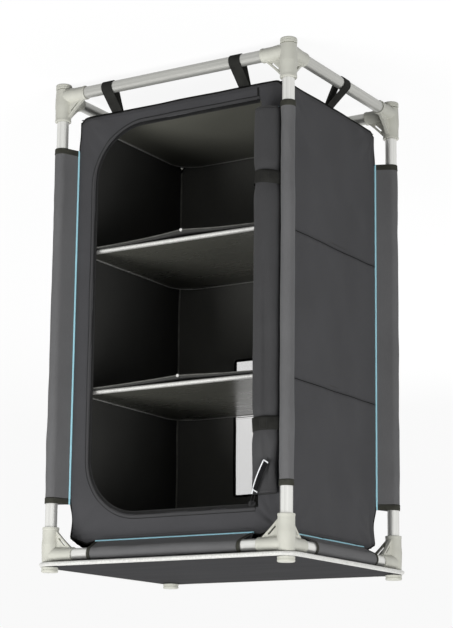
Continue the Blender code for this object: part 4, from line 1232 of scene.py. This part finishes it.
def build_door_roll():
    """The door's cloth, rolled up from its free edge and lying beside its hinge."""
    rows, columns, flap = 150, 168, 8
    points = []
    for v in spaced(0.0, 1.0, rows):
        row = []
        for t in spaced(0.0, 1.0, columns):
            low, high = door_ends(t * DOOR_WIDTH * 0.97)
            z = low + 0.0006 + (high - low - 0.0012) * v
            half_width, half_depth, _ = roll_section(z)
            pitch = min(0.0036, half_depth / 3.2) * half_width / half_depth
            depth = min(0.0006 + pitch * ROLL_TURNS * t, half_width * 0.86)
            row.append(roll_point(0.30 - tau * ROLL_TURNS * t, z, depth))
        start = vec(OPENING_LEFT + 0.0004, 0.0004 - BODY_Y, row[0].z)
        lead = [start.lerp(row[0], k / flap) + vec(0.0012 * sin(pi * k / flap), 0)
                for k in range(flap)]
        points.append(lead + row)
    width, height = running(points[rows // 2])[-1], ROLL_HIGH - ROLL_LOW
    sheet("door_roll_cloth", cloth_grid("door_roll", points), "door", "door_roll", width, height,
          THIN_CLOTH)
    for name, j, lift in (("foot", 0, -0.0004), ("head", rows, 0.0004)):
        outer = points[j][flap:flap + round(columns * 0.52)]
        bead(f"door_zip_{name}", [p + UP * lift for p in outer], 0.0013, "zip")
    lines = []
    for j, dz in ((0, 0.006), (rows, -0.006)):
        outer = [p + UP * dz for p in points[j][flap:flap + 58]]
        centre = roll_centre(outer[0].z)
        lines.append(([p + (p - centre).normalized() * 0.0008 for p in outer],
                      lambda p, c=centre: vec(p.x - c.x, p.y - c.y)))
    stitches("door_stitching", lines)


def build_door_straps():
    """Webbing bands round the roll, the end of each sewn over its start."""
    for name, skew in (("upper", 0.0015), ("lower", -0.0030)):
        z = STRAP_ZS[name]
        centre = roll_centre(z)

        def around(a, proud, raised=0.0):
            point = roll_point(a, z, 0.0, proud)
            point.z = z + skew * cos(a + 0.6) + raised
            return point

        def spoke(point):
            return (point - centre).normalized()

        band = [around(a, 0.0010) for a in turns(72)]
        strip(f"door_strap_{name}_band", band, [spoke(p) for p in band],
              flat_section(STRAP_W, 0.0013), "strap", closed=True, node=f"door_strap_{name}")
        over = [around(radians(-205 + 115 * t), 0.0023 + 0.0004 * sin(pi * t), 0.0012)
                for t in spaced(0.0, 1.0, 29)]
        strip(f"door_strap_{name}_end", over, [spoke(p) for p in over],
              flat_section(STRAP_W * 0.92, 0.0013), "strap")
        edges = (UP * -0.010, UP * 0.010)
        lines = [([p + edge + spoke(p) * 0.0008 for p in over[-9:-1]], spoke) for edge in edges]
        lines += [([p + edge + spoke(p) * 0.0008 for edge in edges], spoke(p))
                  for p in (over[-9], over[-2])]
        stitches(f"door_strap_{name}_stitching", lines)


# Zip slider and its pull

PULL_L = 0.0960
PULL_ACROSS = 0.0500
PULL_OUT = 0.030456
SLIDER_Z = OPENING_TOP + ZIP_TAPE_W / 2
SLIDER_T = 0.0040
SLIDER_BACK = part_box("zip_slider")[1].y


def joint_frame():
    """Hinge of the pull, its axis, the direction down its length and its outer side."""
    hinge = vec(SLIDER_X, SLIDER_BACK - SLIDER_T - 0.0012, SLIDER_Z)
    down = -sqrt(PULL_L ** 2 - PULL_ACROSS ** 2 - PULL_OUT ** 2)
    along = vec(-PULL_ACROSS, -PULL_OUT, down).normalized()
    axis = vec(-PULL_ACROSS, 0, down).cross(FRONT).normalized()
    out = along.cross(axis)
    return hinge, axis, along, out if out.dot(FRONT) > 0 else -out


def squared(value):
    """Sine or cosine pushed out from a circle towards a square."""
    return copysign(abs(value) ** 0.55, value)


def build_slider():
    """Slider with its arch, and the black end patch that it is parked on."""
    base = vec(SLIDER_X, SLIDER_BACK, SLIDER_Z)
    outline = []
    for a in turns(40):
        x = 0.0079 * squared(cos(a))
        outline.append((x, (0.0054 - 0.0018 * smooth_share(0.0, -0.0079, x)) * squared(sin(a))))
    bm = bmesh.new()
    skin(bm, [[bm.verts.new(base + vec(x * share, -depth, z * share)) for x, z in outline]
              for depth, share in ((0.0, 0.95), (0.0004, 1.0), (0.0013, 1.0), (0.0016, 0.88),
                                   (0.0023, 0.88), (0.0026, 1.0), (0.0035, 0.97),
                                   (0.0040, 0.86))])
    piece("slider_body", finished(bm, "slider_body", 35.0), "slider", "zip_slider")
    flat = joint_frame()[1].cross(FRONT).normalized()
    arch = [base + FRONT * (0.0037 + 0.0030 * sin(a)) + flat * 0.0032 * cos(a)
            for a in spaced(0.0, pi, 14)]
    bead("slider_arch", arch, 0.0007, "slider")
    patch = [vec(x, SLIDER_Z - 0.0040) for x in (-0.2010, -0.1950, -0.1890, -0.1830, -0.1765)]
    strip("zip_end_patch", on_wall("front", patch, 0.0012), FRONT, flat_section(0.0215, 0.0011),
          "binding", slot="zip_black")


def build_pull():
    """Metal loop, forked grip and webbing tape, hanging over the flat top of the roll."""
    hinge, axis, along, out = joint_frame()
    own = {"body": "zip_pull", "slot": "pull_tape"}

    def at(across, down, lift=0.0):
        bow = -0.0034 * sin(pi * clamped(down / PULL_L))
        return hinge + axis * (across + bow) + along * down + out * lift

    flank = [(0.0014, 0.0002), (0.0030, 0.0014), (0.0036, 0.0110), (0.0030, 0.0190)]
    loop = [at(-x, y) for x, y in flank] + [at(0.0, 0.0208)] + [at(*p) for p in reversed(flank)]
    strip("pull_loop", even_points(loop, 0.0008, True), out, round_section(0.00055, 8), "slider",
          closed=True, node="zip_pull", body="zip_pull")
    bar = [at(x, 0.0276 - 0.0006 * (x / 0.0062) ** 2)
           for x in (-0.0046, -0.0030, -0.0010, 0.0010, 0.0030, 0.0050, 0.0066)]
    bead("pull_bar", bar, 0.0016, "pale", 12, **own)
    for name, side, foot, material in (("l", -1, 0.0180, "pale"), ("r", 1, 0.0215, "slider")):
        arm = [at(side * x, y) for x, y in ((0.0040, foot), (0.0046, foot + 0.0020),
                                            (0.0048, 0.0250), (0.0044, 0.0276))]
        bead(f"pull_fork_{name}", arm, 0.0016, material, 12, **own)
    stem = [at(-0.0044, 0.0276), at(-0.0046, 0.0300), at(-0.0049, 0.0320), at(-0.0050, 0.0350)]
    bead("pull_stem", stem, 0.0015, "pale", 12, **own)
    for name, lift in (("back", -0.0007), ("front", 0.0007)):
        tape = [at(0, down, lift) for down in spaced(0.0290, 0.0935, 30)]
        strip(f"pull_tape_{name}", tape, out, flat_section(0.0104, 0.0011), "pull", **own)
    edge = [at(-0.0048, down) for down in spaced(0.033, 0.0925, 30)]
    strip("pull_edge", edge, out, flat_section(0.0042, 0.0032), "pale", **own)
    cap = [at(-0.0056, 0.0935), at(-0.0030, 0.0940), at(0.0030, 0.0940), at(0.0056, 0.0935)]
    strip("pull_cap", cap, out, flat_section(0.0034, 0.0032), "pale", **own)
    stitches("pull_stitching", [([at(x, 0.0310, 0.0014), at(x, 0.0910, 0.0014)], out)
                                for x in (-0.0026, 0.0038)], body="zip_pull")


# Slings under the shelves

# Depth of the sag at the rivet, its spread and the rivet's distance from the middle
SLING_SAGS = {"lower": (0.0118, 0.40, -0.010), "upper": (0.0090, 0.75, -0.008)}
RIVET_PROFILE = ((0.0034, 0.0010), (0.0034, 0.0016), (0.0029, 0.0022), (0.0016, 0.0025),
                 (0.0013, 0.0018))


def sling_dip(t, width):
    """Share of the sag at a distance from the rivet, one there and nought at the wall."""
    last = exp(-1 / width)
    return max(0.0, (exp(-sqrt(t * t + 0.0012) / width) - last) / (1 - last))


def build_slings():
    half_x, half_y = BODY_X - CLOTH_T - GAP, BODY_Y - CLOTH_T - GAP
    for level, (depth, width, lean) in SLING_SAGS.items():
        top_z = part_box(f"{level}_shelf_trim")[0].z - 0.0007

        def place(u, v):
            across = 2 * u - 1
            off = across - lean / half_x
            away = abs(off) / (1 + copysign(lean / half_x, -off))
            sag = depth * sling_dip(away, width) * (1 - v) ** 2
            ripple = 0.0006 * wander((across, v, 0), 5.0, 61) * min(1.0, sag / 0.004)
            return vec(across * half_x, (2 * v - 1) * half_y, top_z - sag + min(0.0, ripple))

        name = f"{level}_sling"
        points = grid_of(48, 40, place)
        edge = points[0]
        # The slings take the darker cloth copy, which is painted shade.
        sheet(name, cloth_grid(name, points), "inside_painted_shade", f"{level}_shelf_sling", 2 * half_x,
              2 * half_y)
        strip(f"{name}_hem", [p + vec(0, -0.0002, -0.0006) for p in edge], FRONT,
              flat_section(0.0030, 0.0018), "welt")
        lowest = min(edge, key=lambda p: p.z)
        centre = Matrix.Translation(vec(lean, lowest.y, lowest.z - 0.0004))
        for k, facing in enumerate((pi / 2, -pi / 2)):
            bm = bmesh.new()
            lathe(bm, RIVET_PROFILE, 28, centre @ Matrix.Rotation(facing, 4, "X"))
            piece(f"{level}_rivet_{k}", finished(bm, "rivet", 35.0), "rivet")
        stitches(f"{name}_stitching", [([p + vec(0, -0.0014, 0.0012) for p in edge], FRONT)])


# Straps that tie the box to the bottom rails

TIE_W = 0.0262
TIE_SPREAD = 0.157


def build_ties():
    for side, (at, along, inward) in RAILS.items():
        root = inward * (LEG_X - BODY_X + CLOTH_T + 0.0080) + UP * (FLOOR_Z - 0.0006 - LOW_Z)
        towards, reach = root.normalized(), root.length
        across = along.cross(towards)
        section = teardrop(TUBE_R + 0.0010, reach, 12, 32, short=0.0005, apart=0.0012)
        for n, shift in enumerate((-TIE_SPREAD, TIE_SPREAD) if along.x else (0.0,)):
            name = f"tie_{side}_{n}"
            centre = at + along * shift + UP * LOW_Z
            path = [centre + towards * x + across * y for x, y in section]
            path = [p + along * wander(p, 40.0, 71 + n) * 0.0005 for p in path]
            strip(name, path, [ahead.cross(along).normalized() for ahead in headings(path)],
                  flat_section(TIE_W, 0.0013), "strap")
            lines = []
            for back in (0.003, 0.010):
                for face in (across, -across):
                    spot = centre + towards * (reach - back) + face * (0.0022 + back * 0.19)
                    lines.append(([spot - along * 0.011, spot + along * 0.011], face))
            stitches(f"{name}_stitching", lines)


# Camera, lights and stage

def build_camera():
    data = bpy.data.cameras.new("camera")
    data.sensor_width = SENSOR
    data.lens = FOCAL_PX * SENSOR / PHOTO_H
    data.shift_y = CAMERA_SHIFT_PX / PHOTO_H
    camera = linked("camera", data)
    forward = vec(sin(CAMERA_YAW) * cos(CAMERA_PITCH), cos(CAMERA_YAW) * cos(CAMERA_PITCH),
                  -sin(CAMERA_PITCH))
    right = forward.cross(UP).normalized()
    up = right.cross(forward)
    across = right * cos(CAMERA_ROLL) + up * sin(CAMERA_ROLL)
    upward = up * cos(CAMERA_ROLL) - right * sin(CAMERA_ROLL)
    rotation = Matrix((across, upward, -forward)).transposed().to_4x4()
    camera.matrix_world = Matrix.Translation(Vector(CAMERA_AT)) @ rotation
    bpy.context.scene.camera = camera


def area_light(name, at, aim_z, size, power):
    data = bpy.data.lights.new(name, "AREA")
    data.shape = "SQUARE"
    data.size = size
    data.energy = power
    light = linked(name, data)
    light.location = at
    light.rotation_euler = (UP * aim_z - Vector(at)).to_track_quat("-Z", "Y").to_euler()
    light.visible_glossy = False


def build_stage():
    """White sky and floor for the lens, dimmer ones for the light on the cupboard."""
    sky = Nodes(bpy.data.worlds.new("studio"), "Background")
    bpy.context.scene.world = sky.finish(Color=(1.0, 1.0, 1.0, 1.0),
                                         Strength=sky.spread(sky.to_lens(), 0.34, 1.0))
    ground = new_nodes("floor_white")
    lens = ground.to_lens()
    ground.finish(Base_Color=ground.tint(lens, (1.0, 1.0, 1.0), 0.24, 0.95, (0.0, 1.0)),
                  Roughness=0.9, Specular_IOR_Level=0.0)
    glow = ground.add("Emission", "Emission", Strength=1.0)
    lit = ground.add("MixShader", "Shader", ground.maths("MULTIPLY", lens, 0.92),
                     ground.shader.outputs["BSDF"], glow)
    ground.tree.links.new(lit, ground.tree.nodes["Material Output"].inputs["Surface"])
    bm = bmesh.new()
    bmesh.ops.create_grid(bm, x_segments=1, y_segments=1, size=30.0)
    plane = linked("floor", to_mesh(bm, "floor"))
    plane.data.materials.append(ground.owner)
    area_light("key", (1.1, -2.5, 2.25), 0.60, 1.6, 76.0)
    area_light("rear", (0.5, 3.0, 1.9), 0.55, 1.8, 52.0)
    area_light("fill", (-2.7, -1.35, 2.0), 0.5, 1.8, 68.0)


def main():
    bpy.context.scene.view_settings.view_transform = "Standard"
    build_camera()
    build_stage()
    build_tubes()
    build_connectors()
    build_plugs()
    build_boards()
    build_walls()
    build_window()
    build_roof_and_floor()
    build_leg_sleeves()
    build_rail_tunnels()
    build_zip()
    build_bindings()
    build_door_roll()
    build_door_straps()
    build_slider()
    build_pull()
    build_slings()
    build_ties()


main()
